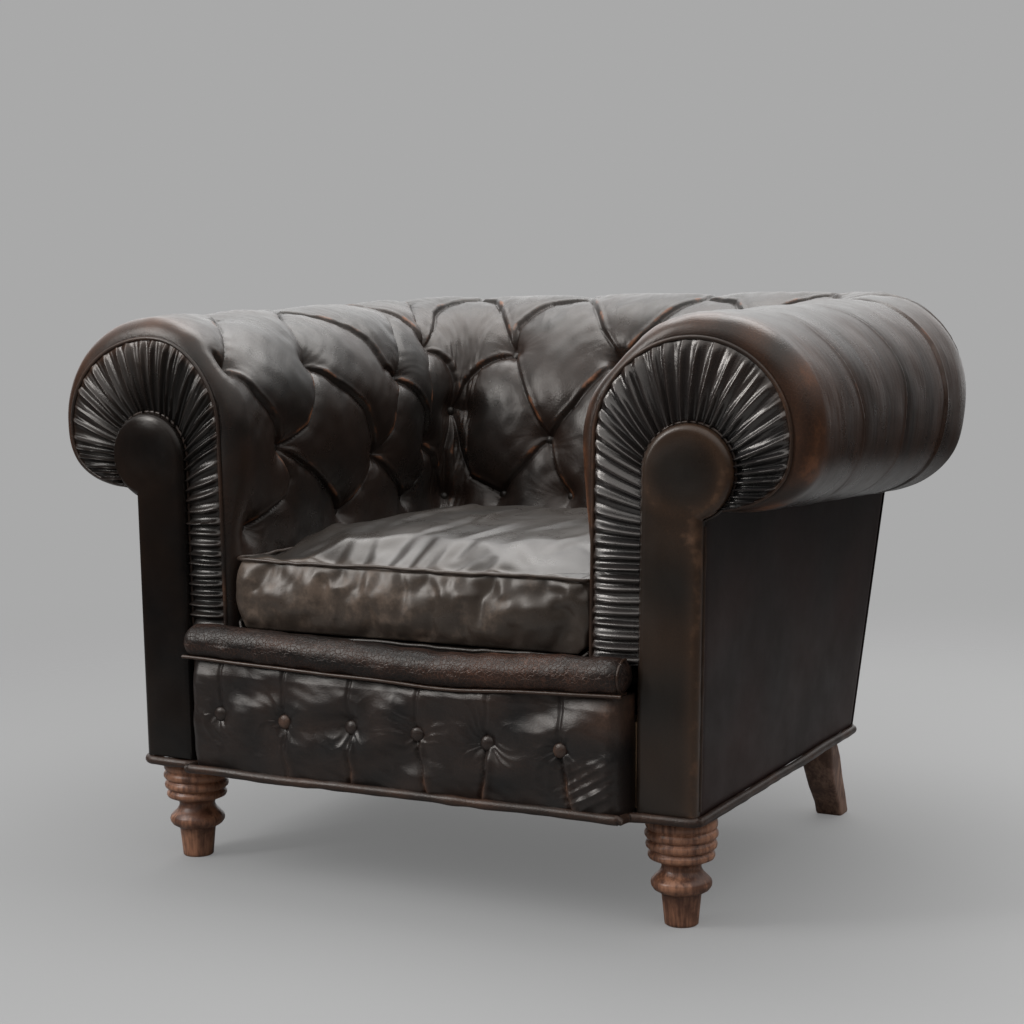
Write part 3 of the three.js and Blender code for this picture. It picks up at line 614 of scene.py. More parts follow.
worn_here = calc(hide_wear, "ADD", rubbed, calc(hide_wear, "MULTIPLY", given["Fold"], 0.80))
torn = calc(hide_wear, "ADD", worn_here, uneven(hide_wear, scuff, 1.5))
torn = calc(hide_wear, "ADD", torn, uneven(hide_wear, patch, 0.9))
bare = ramp(hide_wear, torn, 0.48, 1.05)
faded = mixed(hide_wear, 0.05, given["Dye"], given["Bare"])
dye_and_painted_light = mixed(hide_wear, ramp(hide_wear, cloud, 0.35, 0.7), given["Dye"], faded)
dye_and_painted_light = mixed(hide_wear, calc(hide_wear, "MULTIPLY", given["Rub"], 0.30), dye_and_painted_light, given["Bare"])
bared = mixed(hide_wear, bare, dye_and_painted_light, given["Bare"])
open_crack = calc(hide_wear, "MULTIPLY", crack, calc(hide_wear, "ADD", 0.12, worn_here))
hide_wear.links.new(mixed(hide_wear, open_crack, bared, given["Bare"]), result.inputs["Color"])
rough = calc(hide_wear, "ADD", given["Gloss"], uneven(hide_wear, patch, 0.30))
rough = calc(hide_wear, "ADD", rough, calc(hide_wear, "MULTIPLY", bare, 0.18))
hide_wear.links.new(rough, result.inputs["Roughness"])
relief = calc(hide_wear, "MULTIPLY", pore, 0.22)
relief = calc(hide_wear, "ADD", relief, calc(hide_wear, "MULTIPLY", scuff, 0.20))
relief = calc(hide_wear, "SUBTRACT", relief, calc(hide_wear, "MULTIPLY", crack, 0.55))
relief = calc(hide_wear, "SUBTRACT", relief, calc(hide_wear, "MULTIPLY", bare, 0.25))
hide_wear.links.new(relief, result.inputs["Height"])


def hide_material(name, dye_and_painted_light, bare, gloss=0.34, cracks=0.3, bump=0.35, shine=0.5):
    """Worn hide with its own dye, bare colour, gloss and cracks, worn by the piece's marks; on some
    pieces the dye and the rub mark also hold painted light and shade.
    """
    material, tree = blank_material(name)
    place = node(tree, "ShaderNodeTexCoord").outputs["Object"]
    fold = node(tree, "ShaderNodeAttribute", attribute_name="fold").outputs["Fac"]
    wear_and_painted_light = node(tree, "ShaderNodeAttribute", attribute_name="rub_and_painted_light").outputs["Fac"]
    wear = node(tree, "ShaderNodeGroup", node_tree=hide_wear)
    for label, value in (("Place", place), ("Fold", fold), ("Rub", wear_and_painted_light)):
        tree.links.new(value, wear.inputs[label])
    for label, value in (("Dye", (*dye_and_painted_light, 1)), ("Bare", (*bare, 1)), ("Cracks", cracks), ("Gloss", gloss)):
        wear.inputs[label].default_value = value
    height = {"Height": wear.outputs["Height"], "Strength": bump, "Distance": 0.0012}
    relief = node(tree, "ShaderNodeBump", height)
    shader = node(tree, "ShaderNodeBsdfPrincipled", {
        "Base Color": wear.outputs["Color"], "Roughness": wear.outputs["Roughness"],
        "Normal": relief.outputs[0], "Specular IOR Level": shine, "Specular Tint": (1.0, 0.95, 0.90, 1)})
    node(tree, "ShaderNodeOutputMaterial", {"Surface": shader.outputs[0]})
    return material


black_hide = hide_material("black_hide", (0.0115, 0.0108, 0.0102), (0.23, 0.088, 0.038), 0.30, 0.2)
hide = fit("buttoned_hide", hide_mesh, black_hide, ("left_arm_pad", "right_arm_pad", "back_pad"))

# Sunk leather-covered buttons, one at each dimple inside the arms and back.
BUTTON_R = 0.0078
BUTTON_RISE = 0.0055
MIDDLE_TUFT = 968  # the one button past this run sits in the middle of the back


def button_rings(middle, out, radius, rise):
    """Rings of a low domed button at middle facing out: a quarter ellipse turned about out."""
    lie = np.cross(out, [0.0, 0.0, 1.0])
    lie /= np.linalg.norm(lie)
    up = np.cross(lie, out)
    angle = np.linspace(0, 2 * np.pi, 28, endpoint=False)
    bow = np.radians(np.array([-50, -25, 0, 20, 40, 58, 74, 88]))
    circle = np.cos(angle)[:, None] * lie + np.sin(angle)[:, None] * up
    return middle + radius * np.cos(bow)[:, None, None] * circle + rise * np.sin(bow)[:, None, None] * out


button_hide = hide_material("button_hide", (0.010, 0.009, 0.008), (0.15, 0.065, 0.03), 0.36, 0.2)
all_tufts = TUFTS + mirrored([(r, c) for r, c in TUFTS if r < MIDDLE_TUFT])
for number, (r, c) in enumerate(all_tufts, 1):
    i = np.argmin(np.abs(run_grid[:, 0] - np.clip(r, 6, WHOLE_RUN - 6)))
    j = np.argmin(np.abs(climb_mm - c))
    sunk = skin[i, j] - 0.0005 * normal[i, j]
    rings = button_rings(sunk, normal[i, j], BUTTON_R, BUTTON_RISE)
    fit(f"tuft_button_{number:02d}", closed_net("tuft_button", rings), button_hide)

# ---------------------------------------------------------------- pleated arm fronts
# A strip of thin hide gathered into narrow pleats, fanned round the head of each keyhole panel and
# laid level down its inside, with a piped seam where it meets the arm.
FACING_BACK = -0.3867
PANEL_IN, PANEL_OUT = 0.3095, 0.384
PANEL_R = 0.055
PANEL_X, PANEL_Z = PANEL_IN + PANEL_R, 0.530
SHAFT_FOOT = 0.308
FAN, LEVEL = 26, 17  # pleats round the head and down the strip


def facing_point(side, pleat, out):
    """A point of the flat facing: pleat counts from the outer end of the fan, round the head and
    down the strip; out goes from the panel at 0 to the seam at 1."""
    fan = np.clip(pleat / FAN, 0, 1)
    down = np.clip((pleat - FAN) / LEVEL, 0, 1)
    angle = np.radians(-62 + (180 + 62) * fan)
    near_x = PANEL_X + (PANEL_R - 0.004) * np.cos(angle)
    near_z = PANEL_Z + (PANEL_R - 0.004) * np.sin(angle)
    seam_angle = np.radians(-80 + 260 * fan)
    below = seam_angle < 0
    c, s = np.cos(seam_angle), np.sin(seam_angle)
    far_n = HEAD_N + SEAM_OUT * np.where(below, np.abs(c) ** SEAM_SQUARE, c)
    far_z = HEAD_Z + np.where(below, -SEAM_DOWN * np.abs(s) ** SEAM_SQUARE, SEAM_UP * s)
    near_z = np.where(pleat > FAN, near_z + (SHAFT_FOOT - near_z) * down, near_z)
    slope = (HEAD_Z - PANEL_Z) * (1 - smooth(down * 2.2))
    far_z = np.where(pleat > FAN, near_z + slope, far_z)
    far_x = inner_x(far_z) + sewn(side, far_n)
    x = leaned(near_x, near_z) + (far_x - leaned(near_x, near_z)) * out
    return x, near_z + (far_z - near_z) * out


def facing(side, seed):
    """Rings across the facing, from panel to seam and back behind. Each pleat is a narrow crest, a
    bell curve of the distance from its middle, steeper on one side; crests differ in height, and
    small gathers fill the last stretch before the seam."""
    along = np.linspace(0, FAN + LEVEL, (FAN + LEVEL) * 16 + 1)
    pleat, out = np.meshgrid(along, np.linspace(0, 1, 34), indexing="ij")
    x, z = facing_point(side, pleat, out)
    index = np.floor(pleat)
    shift = 0.16 * hills(index * 3.1, index * 0, 5.0, seed) + 0.07 * hills(pleat, out * 3, 2.5, seed + 1)
    phase = pleat - index - 0.5 - shift
    level = smooth((pleat - FAN + 3) / 3)
    width = np.where(phase < 0, 0.21, 0.13) * (1.22 if side > 0 else 0.85) + 0.06 * level
    width = width * (1 + 0.25 * hills(index * 2.3, out * 0.6, 4.0, seed + 5))
    crest = np.exp(-((phase / width) ** 2)) + 0.16 * np.cos(2 * np.pi * (pleat - 0.5))
    ups_and_downs = 0.80 + 0.38 * hills(index * 1.7, out * 0.9, 3.2, seed + 2)
    pressed = 0.62 if side > 0 else 0.35
    flat_top = 1 - pressed * np.exp(-(((pleat - 13.5) / 3.6) ** 2)) * smooth((out - 0.25) / 0.4)
    height = 0.0062 * crest * np.clip(ups_and_downs, 0.3, 1.3) * flat_top
    height *= smooth(out / 0.07) * (0.25 + 0.75 * smooth((1 - out) / 0.14))
    gathers = (0.0011 - 0.0007 * level) * (1 - np.abs(hills(pleat * 2.4, out, 1.0, seed + 3)))
    gathers *= smooth((out - 0.55) / 0.3)
    gathers *= smooth((1 - out) / 0.06)
    swell = 0.0065 * np.sin(np.pi * np.clip(out, 0, 1)) ** 0.8
    y = FACING_BACK - 0.0045 - height - swell - gathers
    front = np.stack([side * x, y, z], -1)
    behind = front[:, ::-1].copy()
    behind[..., 1] = FACING_BACK
    rings = np.concatenate([front, behind[:, ::6]], axis=1)
    edge = smooth((out - 0.86) / 0.14)
    on_crest = smooth((crest - 0.55) / 0.4)
    seam_rub = edge * (0.40 + 0.35 * hills(pleat, out, 6, seed + 4))
    top_rub = 0.28 * np.exp(-(((pleat - 14) / 5) ** 2)) * out
    wear_and_painted_light = np.clip(0.10 * on_crest + seam_rub + top_rub, 0, 1)
    wear_and_painted_light = np.concatenate([wear_and_painted_light, np.zeros(behind[:, ::6].shape[:2])], axis=1)
    return rings, {"rub_and_painted_light": wear_and_painted_light, "fold": 0 * wear_and_painted_light}


def tube(path, radius, around=10):
    """Rings of a round piping along a path: circles square to the path's direction."""
    ahead = np.gradient(path, axis=0)
    ahead /= np.linalg.norm(ahead, axis=1, keepdims=True)
    guide = np.where(np.abs(ahead[:, [1]]) > 0.8, [[0.0, 0.0, 1.0]], [[0.0, 1.0, 0.0]])
    across = np.cross(ahead, guide)
    across /= np.linalg.norm(across, axis=1, keepdims=True)
    other = np.cross(ahead, across)
    angle = np.linspace(0, 2 * np.pi, around, endpoint=False)
    radius = np.broadcast_to(radius, len(path))
    circle = np.cos(angle)[:, None] * across[:, None] + np.sin(angle)[:, None] * other[:, None]
    return path[:, None] + radius[:, None, None] * circle


piping_hide = hide_material("piping_hide", (0.013, 0.0105, 0.0095), (0.17, 0.078, 0.040), 0.33, 0.2, 0.3)
# Each facing's dye is partly the hide's own colour and partly painted light: the left one is lighter and
# the right one darker, standing in for how the light falls on each arm front.
for side, which, dye_and_painted_light, gloss, shine in ((1, "left", (0.0190, 0.0190, 0.0196), 0.26, 1.0),
                                       (-1, "right", (0.0085, 0.0083, 0.0080), 0.30, 0.62)):
    rings, marks = facing(side, 20 + side)
    pleat_hide = hide_material(f"{which}_pleat_hide", dye_and_painted_light, (0.15, 0.070, 0.038), gloss, 0.15, 0.25, shine)
    made = fit(f"{which}_pleats", closed_net("pleats", rings, marks, crisp=75), pleat_hide,
               (f"{which}_pleated_facing",))
    steps = np.linspace(0, FAN + LEVEL, 200)
    x, z = facing_point(side, steps, np.full(200, 1.0))
    seam = np.stack([side * x, np.full(200, -0.3925), z], -1)
    rub_and_painted_light = np.clip((0.42 if side > 0 else 0.30) + 0.45 * hills(steps, steps * 0, 6, 50 + side), 0, 1)
    piping = closed_net("arm_piping", tube(seam, 0.0026), {"rub_and_painted_light": rub_and_painted_light[:, None], "fold": 0.0})
    fit(f"{which}_arm_piping", piping, piping_hide)

# ---------------------------------------------------------------- keyhole facing panels
# A wooden board padded with wadding and covered in hide: a straight shaft with a round head,
# its edge rolled over, nailed on over the pleats, with a thin bead of piping round it.
PANEL_FACE, PANEL_DEPTH = -0.4068, 0.0148
PANEL_EDGE = 0.0085
PANEL_FOOT = 0.141


def panel_sides(z):
    """The keyhole's inner and outer edge at a height: the shaft's straight edges, and the circle of
    the head where it stands wider."""
    chord = np.sqrt(np.maximum(PANEL_R ** 2 - (z - PANEL_Z) ** 2, 0))
    head = z > PANEL_Z
    inner = np.where(head, PANEL_X - chord, PANEL_IN)
    round_edge = PANEL_X + chord
    outer = np.where(head, round_edge, np.maximum(PANEL_OUT, np.where(chord > 0, round_edge, 0)))
    return inner, outer


def panel(side, seed):
    """Rings up the panel; each runs over the face and back behind. The face falls away at the edge
    like a quarter circle, and lies a little uneven."""
    low = np.linspace(PANEL_FOOT, 0.470, 90)[:-1]
    head = PANEL_Z + PANEL_R * np.sin(np.linspace(np.arcsin(-0.060 / PANEL_R * 0.9), np.pi / 2, 60))
    heights = np.concatenate([low, np.linspace(0.470, head[0], 6)[:-1], head])
    share = (1 - np.cos(np.linspace(0, np.pi, 44))) / 2
    z, share = np.meshgrid(heights, share, indexing="ij")
    inner, outer = panel_sides(z)
    x = inner + (outer - inner) * share
    from_edge = PANEL_R - np.hypot(x - PANEL_X, z - PANEL_Z)
    in_shaft = np.minimum(x - PANEL_IN, PANEL_OUT - x)
    from_edge = np.where(z < PANEL_Z, np.maximum(in_shaft, from_edge), from_edge)
    from_edge = np.minimum(np.maximum(from_edge, 0), z - PANEL_FOOT + 0.004)
    drop = PANEL_EDGE * (1 - np.sqrt(np.maximum(1 - (1 - np.minimum(from_edge / PANEL_EDGE, 1)) ** 2, 0)))
    lumps = 0.0007 * smooth(from_edge / 0.02) * hills(x, z, 0.09, seed)
    y = PANEL_FACE + drop - lumps - 0.0015 * smooth(from_edge / 0.03)
    front = np.stack([side * leaned(x, z), y, z], -1)
    behind = front[:, ::-1][:, ::4].copy()
    behind[..., 1] = PANEL_FACE + PANEL_DEPTH
    outer_side = np.exp(-((outer - x) / 0.012) ** 2)
    from_rim = PANEL_R - 0.006 - np.hypot(x - PANEL_X, z - PANEL_Z)
    head_wear = np.exp(-(from_rim / 0.012) ** 2) * smooth((z - 0.47) / 0.03)
    strength = 1.0 if side > 0 else 0.12
    wear_and_painted_light = 0.80 * outer_side + 0.60 * head_wear + 0.22 + 0.25 * hills(x, z, 0.12, seed + 1)
    wear_and_painted_light = strength * np.clip(wear_and_painted_light, 0, 1)
    wear_and_painted_light = np.concatenate([wear_and_painted_light, 0 * behind[..., 0]], axis=1)
    return np.concatenate([front, behind], axis=1), {"rub_and_painted_light": wear_and_painted_light, "fold": 0 * wear_and_painted_light}


def bead_path(side):
    """The line of the bead round the panel: up the inner edge, round the head, and in to the shaft."""
    z = np.linspace(PANEL_FOOT + 0.004, PANEL_Z, 60)
    up = np.stack([np.full(60, PANEL_IN - 0.0012), z], -1)
    angle = np.linspace(np.pi, -np.arccos((PANEL_OUT - PANEL_X) / PANEL_R) - 0.02, 70)[1:]
    bead_r = PANEL_R + 0.0012
    round_head = np.stack([PANEL_X + bead_r * np.cos(angle), PANEL_Z + bead_r * np.sin(angle)], -1)
    line = np.concatenate([up, round_head])
    return np.stack([side * leaned(line[:, 0], line[:, 1]), np.full(len(line), -0.3945), line[:, 1]], -1)


# The right panel's dye is darker than the hide's own colour: painted shade, standing in for a face that
# catches little light.
for side, which, dye_and_painted_light, gloss, shine in ((1, "left", (0.0125, 0.0105, 0.0090), 0.33, 0.5),
                                       (-1, "right", (0.0038, 0.0038, 0.0040), 0.22, 0.36)):
    panel_hide = hide_material(f"{which}_panel_hide", dye_and_painted_light, (0.135, 0.068, 0.036), gloss, 0.12, 0.16, shine)
    rings, marks = panel(side, 60 + side)
    made = fit(f"{which}_keyhole_panel", closed_net("keyhole_panel", rings, marks), panel_hide,
               (f"{which}_facing_panel",))
    bead = closed_net("panel_bead", tube(bead_path(side), 0.0019, 8), {"rub_and_painted_light": 0.3, "fold": 0.0})
    fit(f"{which}_panel_bead", bead, piping_hide)

# ---------------------------------------------------------------- outside panels
# Board covered in plain hide on the outsides of the arms and back, blind-tacked under the rolls.
SIDE_OUT, SIDE_IN = 0.3838, 0.3792  # the arm panel's two faces, before the lean
BACK_HALF = 0.3835
FOOT_LAP = 0.0035  # how far the hide runs down past the board
CORNER_GAP = 0.0055  # room for the back panel behind the arm panel
SIDE_TOP, ROLL_DIP = 0.484, 0.021  # the arm panel's top, and how much lower it is towards the back
side_hide = hide_material("outside_hide", (0.0125, 0.0068, 0.0062), (0.088, 0.030, 0.022), 0.50, 0.12,
                          0.2, 0.33)


def outer_y(z):
    """The outside back's rake, as a straight line of height."""
    return 0.171 + 0.386 * (z - 0.148)


def outside_panel(side):
    """Rings up the outside arm panel: over the outer face from front to back, and back inside."""
    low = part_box("left_outside_arm_panel")[0]
    up = np.linspace(low[2] - FOOT_LAP, SIDE_TOP, 70)
    z, share = np.meshgrid(up, np.linspace(0, 1, 80), indexing="ij")
    y = low[1] + (outer_y(z) - CORNER_GAP - low[1]) * share
    dipped = np.minimum(z, SIDE_TOP - ROLL_DIP * smooth((y - 0.05) / 0.15))
    z = np.where(z > SIDE_TOP - ROLL_DIP, dipped, z)
    edge = np.minimum(np.minimum(y - low[1], outer_y(z) - CORNER_GAP - y), z - low[2] + FOOT_LAP)
    lumps = 0.0011 * smooth(edge / 0.04) * hills(y, z * 0.6, 0.16, 71)
    x = leaned(SIDE_OUT, z) - 0.0022 * (1 - smooth(edge / 0.005)) + lumps
    out = np.stack([side * x, y, z], -1)
    inside = out[:, ::-1][:, ::6].copy()
    inside[..., 0] = side * leaned(SIDE_IN, inside[..., 2])
    rub_and_painted_light = np.clip(0.20 + 0.25 * hills(y, z, 0.18, 72) + 0.3 * np.exp(-(edge / 0.010)), 0, 1)
    rub_and_painted_light = np.concatenate([rub_and_painted_light, 0 * inside[..., 0]], axis=1)
    return np.concatenate([out, inside], axis=1), {"rub_and_painted_light": rub_and_painted_light, "fold": 0 * rub_and_painted_light}


for side, which in ((1, "left"), (-1, "right")):
    rings, marks = outside_panel(side)
    fit(f"{which}_outside_arm", closed_net("outside_arm", rings, marks), side_hide,
        (f"{which}_outside_arm_panel",))
    z = np.linspace(0.146, 0.470, 60)
    x = leaned(SIDE_OUT + 0.0006 * hills(z, z * 0, 0.03, 75), z)
    nailed_edge = np.stack([side * x, np.full(60, -0.3915), z], -1)
    piping = closed_net("corner_piping", tube(nailed_edge, 0.0022, 8), {"rub_and_painted_light": 0.45, "fold": 0.0})
    fit(f"{which}_corner_piping", piping, piping_hide)

low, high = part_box("outside_back_panel")
z, share = np.meshgrid(np.linspace(low[2] - FOOT_LAP, high[2], 60), np.linspace(-1, 1, 110), indexing="ij")
x = share * leaned(BACK_HALF, z)
edge = np.minimum(leaned(BACK_HALF, z) - np.abs(x), z - low[2] + FOOT_LAP)
lumps = 0.0014 * smooth(edge / 0.04) * (hills(x, z, 0.2, 77) - 0.6)
y = outer_y(z) - 0.0002 - 0.0022 * (1 - smooth(edge / 0.005)) + lumps
out = np.stack([x, y, z], -1)
inside = out[:, ::-1][:, ::6].copy()
inside[..., 1] = outer_y(inside[..., 2]) - 0.005
rub_and_painted_light = np.clip(0.2 + 0.25 * hills(x, z, 0.18, 78), 0, 1)
rub_and_painted_light = np.concatenate([rub_and_painted_light, 0 * inside[..., 0]], axis=1)
rings = np.concatenate([out, inside], axis=1)
fit("outside_back", closed_net("outside_back", rings, {"rub_and_painted_light": rub_and_painted_light, "fold": 0 * rub_and_painted_light}), side_hide,
    ("outside_back_panel",))

# ---------------------------------------------------------------- fixed seat
# A stuffed platform under the cushion, covered in hide, nearly hidden once the cushion is on.


def superellipse(angle, power):
    """The unit superellipse: a circle whose cosine and sine are raised to 2 over power."""
    c, s = np.cos(angle), np.sin(angle)
    return np.sign(c) * np.abs(c) ** (2 / power), np.sign(s) * np.abs(s) ** (2 / power)


def rounded_pad(low, high, power, edge_power, across=64, around=160):
    """Rings of a squared-off pad filling a box: a superellipse in plan times one in section."""
    bow = np.linspace(-np.pi / 2 + 0.012, np.pi / 2 - 0.012, across)
    out, up = superellipse(bow, edge_power)
    x, y = superellipse(np.linspace(0, 2 * np.pi, around, endpoint=False), power)
    middle, reach = (np.array(low) + high) / 2, (np.array(high) - low) / 2
    out, up = out[:, None], up[:, None]
    return middle + np.stack([reach[0] * out * x, reach[1] * out * y, reach[2] * up + 0 * x], -1)


seat_hide = hide_material("platform_hide", (0.014, 0.012, 0.010), (0.13, 0.06, 0.035), 0.45, 0.2)
low, high = np.array(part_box("seat_deck"))
pad = rounded_pad(low, high, 14, 7)
platform = fit("seat_platform", closed_net("seat_platform", pad, {"rub_and_painted_light": 0.1, "fold": 0.0}), seat_hide,
               ("seat_deck",))

# ---------------------------------------------------------------- loose seat cushion
# A boxed cushion of two hide panels and a boxing strip, piped along both seams and filled with
# down and feather: crowned on top, with soft creases from front to back, and a rumpled front.
CUSHION_TOP = 0.402  # height of the upper seam
CUSHION_FOOT = 0.3225
CUSHION_CORNER = 0.022
CUSHION_DROOP = 0.0125  # how far the front's lower edge hangs over the lip


def drooping(y):
    """The lower seam's height: level on the seat, and dropping where the cushion overhangs it."""
    return CUSHION_FOOT - CUSHION_DROOP * smooth((-0.381 - y) / 0.014)


def flared(points):
    """The front corners spread a little over the arms' rounded fronts."""
    points[..., 0] *= 1 + 0.028 * smooth((-0.345 - points[..., 1]) / 0.045)
    return points


def cushion_outline(count, half_x, front, back, corner):
    """A rectangle with rounded corners, count points even in length: its sides are straight and
    each corner is a quarter circle."""
    steps = np.linspace(0, np.pi / 2, 12)
    cx, cy = half_x - corner, (back - front) / 2 - corner
    one = np.stack([cx + corner * np.cos(steps), cy + corner * np.sin(steps)], -1)
    two = one[::-1] * [-1, 1]
    line = np.concatenate([one, two, -one, -two, one[:1]])
    length = np.concatenate([[0], np.cumsum(np.linalg.norm(np.diff(line, axis=0), axis=1))])
    where = np.linspace(0, length[-1], count, endpoint=False)
    x, y = (np.interp(where, length, line[:, k]) for k in range(2))
    return np.stack([x, y + (front + back) / 2], -1)


def cushion_form(inset):
    """Rings of the cushion from the middle of its underside out, up the boxing and in to the middle
    of its crown. The boxing swells like a sine; the crown rises as one less the fifth power of the
    share of the way out, so it is steep near the seam."""
    low, high = np.array(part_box("seat_cushion"))
    edge = cushion_outline(300, high[0] - inset, low[1] + inset, high[1] - inset, CUSHION_CORNER)
    middle = np.array([0, (low[1] + high[1]) / 2])
    shrink = np.concatenate([np.linspace(0.02, 1, 40)[:-1], np.ones(14), np.linspace(1, 0.02, 40)[1:]])
    stage = np.concatenate([np.zeros(39), np.linspace(0, 1, 14), np.ones(39)])
    plan = flared(middle + (edge - middle) * shrink[:, None, None])
    foot = drooping(plan[..., 1])
    level = foot + (CUSHION_TOP - foot) * stage[:, None]
    swell = 0.006 * np.sin(np.pi * stage)[:, None]
    away = (edge - middle) / np.linalg.norm(edge - middle, axis=1, keepdims=True)
    plan = plan + swell[..., None] * away
    underside = np.where(stage <= 0, -0.0018 * (1 - shrink ** 8), 0)
    rise = np.where(stage >= 1, 0.020 * (1 - shrink ** 5), underside)
    return np.concatenate([plan, (level + rise[:, None])[..., None]], -1)


cushion_hide = hide_material("cushion_hide", (0.021, 0.0190, 0.0172), (0.165, 0.118, 0.088), 0.30, 0.12,
                             0.2)
INSET = 0.0050  # room left for the filling to swell
form = cushion_form(INSET)
cushion = bpy.data.objects.new("seat_cushion_hide", closed_net("seat_cushion_hide", form))
bpy.context.collection.objects.link(cushion)


def applied(piece):
    """Turns the piece's modified shape into its own mesh, with no modifiers left on it."""
    evaluated = piece.evaluated_get(bpy.context.evaluated_depsgraph_get())
    shape = bpy.data.meshes.new_from_object(evaluated)
    piece.modifiers.clear()
    piece.data = shape


def points_of(mesh):
    """All of a mesh's points as one array."""
    flat = np.empty(len(mesh.vertices) * 3)
    mesh.vertices.foreach_get("co", flat)
    return flat.reshape(-1, 3)


remesh = cushion.modifiers.new("even", "REMESH")
remesh.mode = "VOXEL"
remesh.voxel_size = 0.0075
SIM_STEPS = 22
MOST_MOVED = 0.016  # no point of the cushion may swell further than this
applied(cushion)
before = points_of(cushion.data)
at_seam = cushion.vertex_groups.new(name="seams")
low, high = np.array(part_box("seat_cushion"))
flare = flared(np.stack([0 * before[:, 0] + 1, before[:, 1]], -1))[:, 0]
off_x = np.abs(np.abs(before[:, 0]) / flare - (high[0] - INSET)) < 0.004
off_front = np.abs(before[:, 1] - low[1] - INSET) < 0.004
off_rear = np.abs(before[:, 1] - high[1] + INSET) < 0.004
foot = drooping(before[:, 1])
on_seam = (np.abs(before[:, 2] - CUSHION_TOP) < 0.0055) | (np.abs(before[:, 2] - foot) < 0.0055)
under = before[:, 2] < foot + 0.001
held = np.flatnonzero(((off_x | off_front | off_rear) & on_seam) | under)
at_seam.add(held.tolist(), 1.0, "REPLACE")
cloth = cushion.modifiers.new("feather_filling", "CLOTH")
cloth.settings.vertex_group_mass = "seams"
cloth.settings.use_pressure = True
cloth.settings.uniform_pressure_force = 3.0
cloth.settings.effector_weights.gravity = 0
cloth.settings.shrink_min = -0.04
cloth.settings.tension_stiffness = 25
cloth.settings.compression_stiffness = 25
cloth.settings.bending_stiffness = 0.9
cloth.settings.quality = 6
cloth.point_cache.frame_start, cloth.point_cache.frame_end = 1, SIM_STEPS
for moment in range(1, SIM_STEPS + 1):
    bpy.context.scene.frame_set(moment)
applied(cushion)
bpy.context.scene.frame_set(1)
after = points_of(cushion.data)
moved = after - before
distance = np.linalg.norm(moved, axis=1, keepdims=True)
moved *= np.minimum(1, MOST_MOVED / np.maximum(distance, 1e-9))
cushion_points = before + moved

# Long creases on the crown, as (x, y) from one end to the other in metres.
CREASES = [((-0.02, -0.33), (-0.06, -0.06)), ((-0.08, -0.30), (-0.13, -0.02)),
           ((0.05, -0.34), (0.05, -0.12)),
           ((0.00, -0.20), (-0.03, 0.09)), ((0.10, -0.27), (0.10, 0.03)), ((-0.16, -0.30), (-0.21, -0.08)),
           ((0.16, -0.34), (0.18, -0.14)), ((0.17, -0.16), (0.18, 0.10)), ((-0.12, -0.10), (-0.15, 0.12)),
           ((0.05, -0.06), (0.05, 0.14)), ((0.22, -0.30), (0.225, -0.10))]
crown = smooth((cushion_points[:, 2] - 0.404) / 0.008)
sunk = np.zeros(len(cushion_points))
for number, (a, b) in enumerate(CREASES):
    a, b = np.array(a), np.array(b)
    along = b - a
    spot = cushion_points[:, :2] - a
    share = spot @ along / (along @ along)
    bow = 0.012 * np.sin(np.pi * np.clip(share, 0, 1)) * (1 if number % 2 else -1)
    aside = spot @ np.array([-along[1], along[0]]) / np.linalg.norm(along) - bow
    reach = smooth(share / 0.25) * smooth((1 - share) / 0.25)
    ridge = 0.0034 * np.exp(-((aside - 0.007) / 0.009) ** 2)
    valley = 0.0040 * np.exp(-((aside + 0.003) / 0.0055) ** 2)
    sunk += reach * (ridge - valley)
x, y, z = cushion_points.T
boxing = smooth((-0.385 - y) / 0.010) * smooth((z - 0.312) / 0.012) * smooth((CUSHION_TOP - z) / 0.01)
rumple = 0.0022 * hills(x, z * 2.2, 0.07, 31) + 0.0011 * hills(x, z, 0.022, 32)
rumple *= 0.4 + 0.6 * smooth((z - 0.350) / 0.02)
cushion_points[:, 2] += crown * (sunk + 0.0014 * hills(x + 0.12 * y, 0.25 * y, 0.042, 33))
cushion_points[:, 1] -= boxing * rumple
cushion.data.vertices.foreach_set("co", cushion_points.ravel())
shading = cushion.modifiers.new("finer", "SUBSURF")
shading.levels = shading.render_levels = 1
applied(cushion)
cushion.data.shade_smooth()
x, y, z = points_of(cushion.data).T
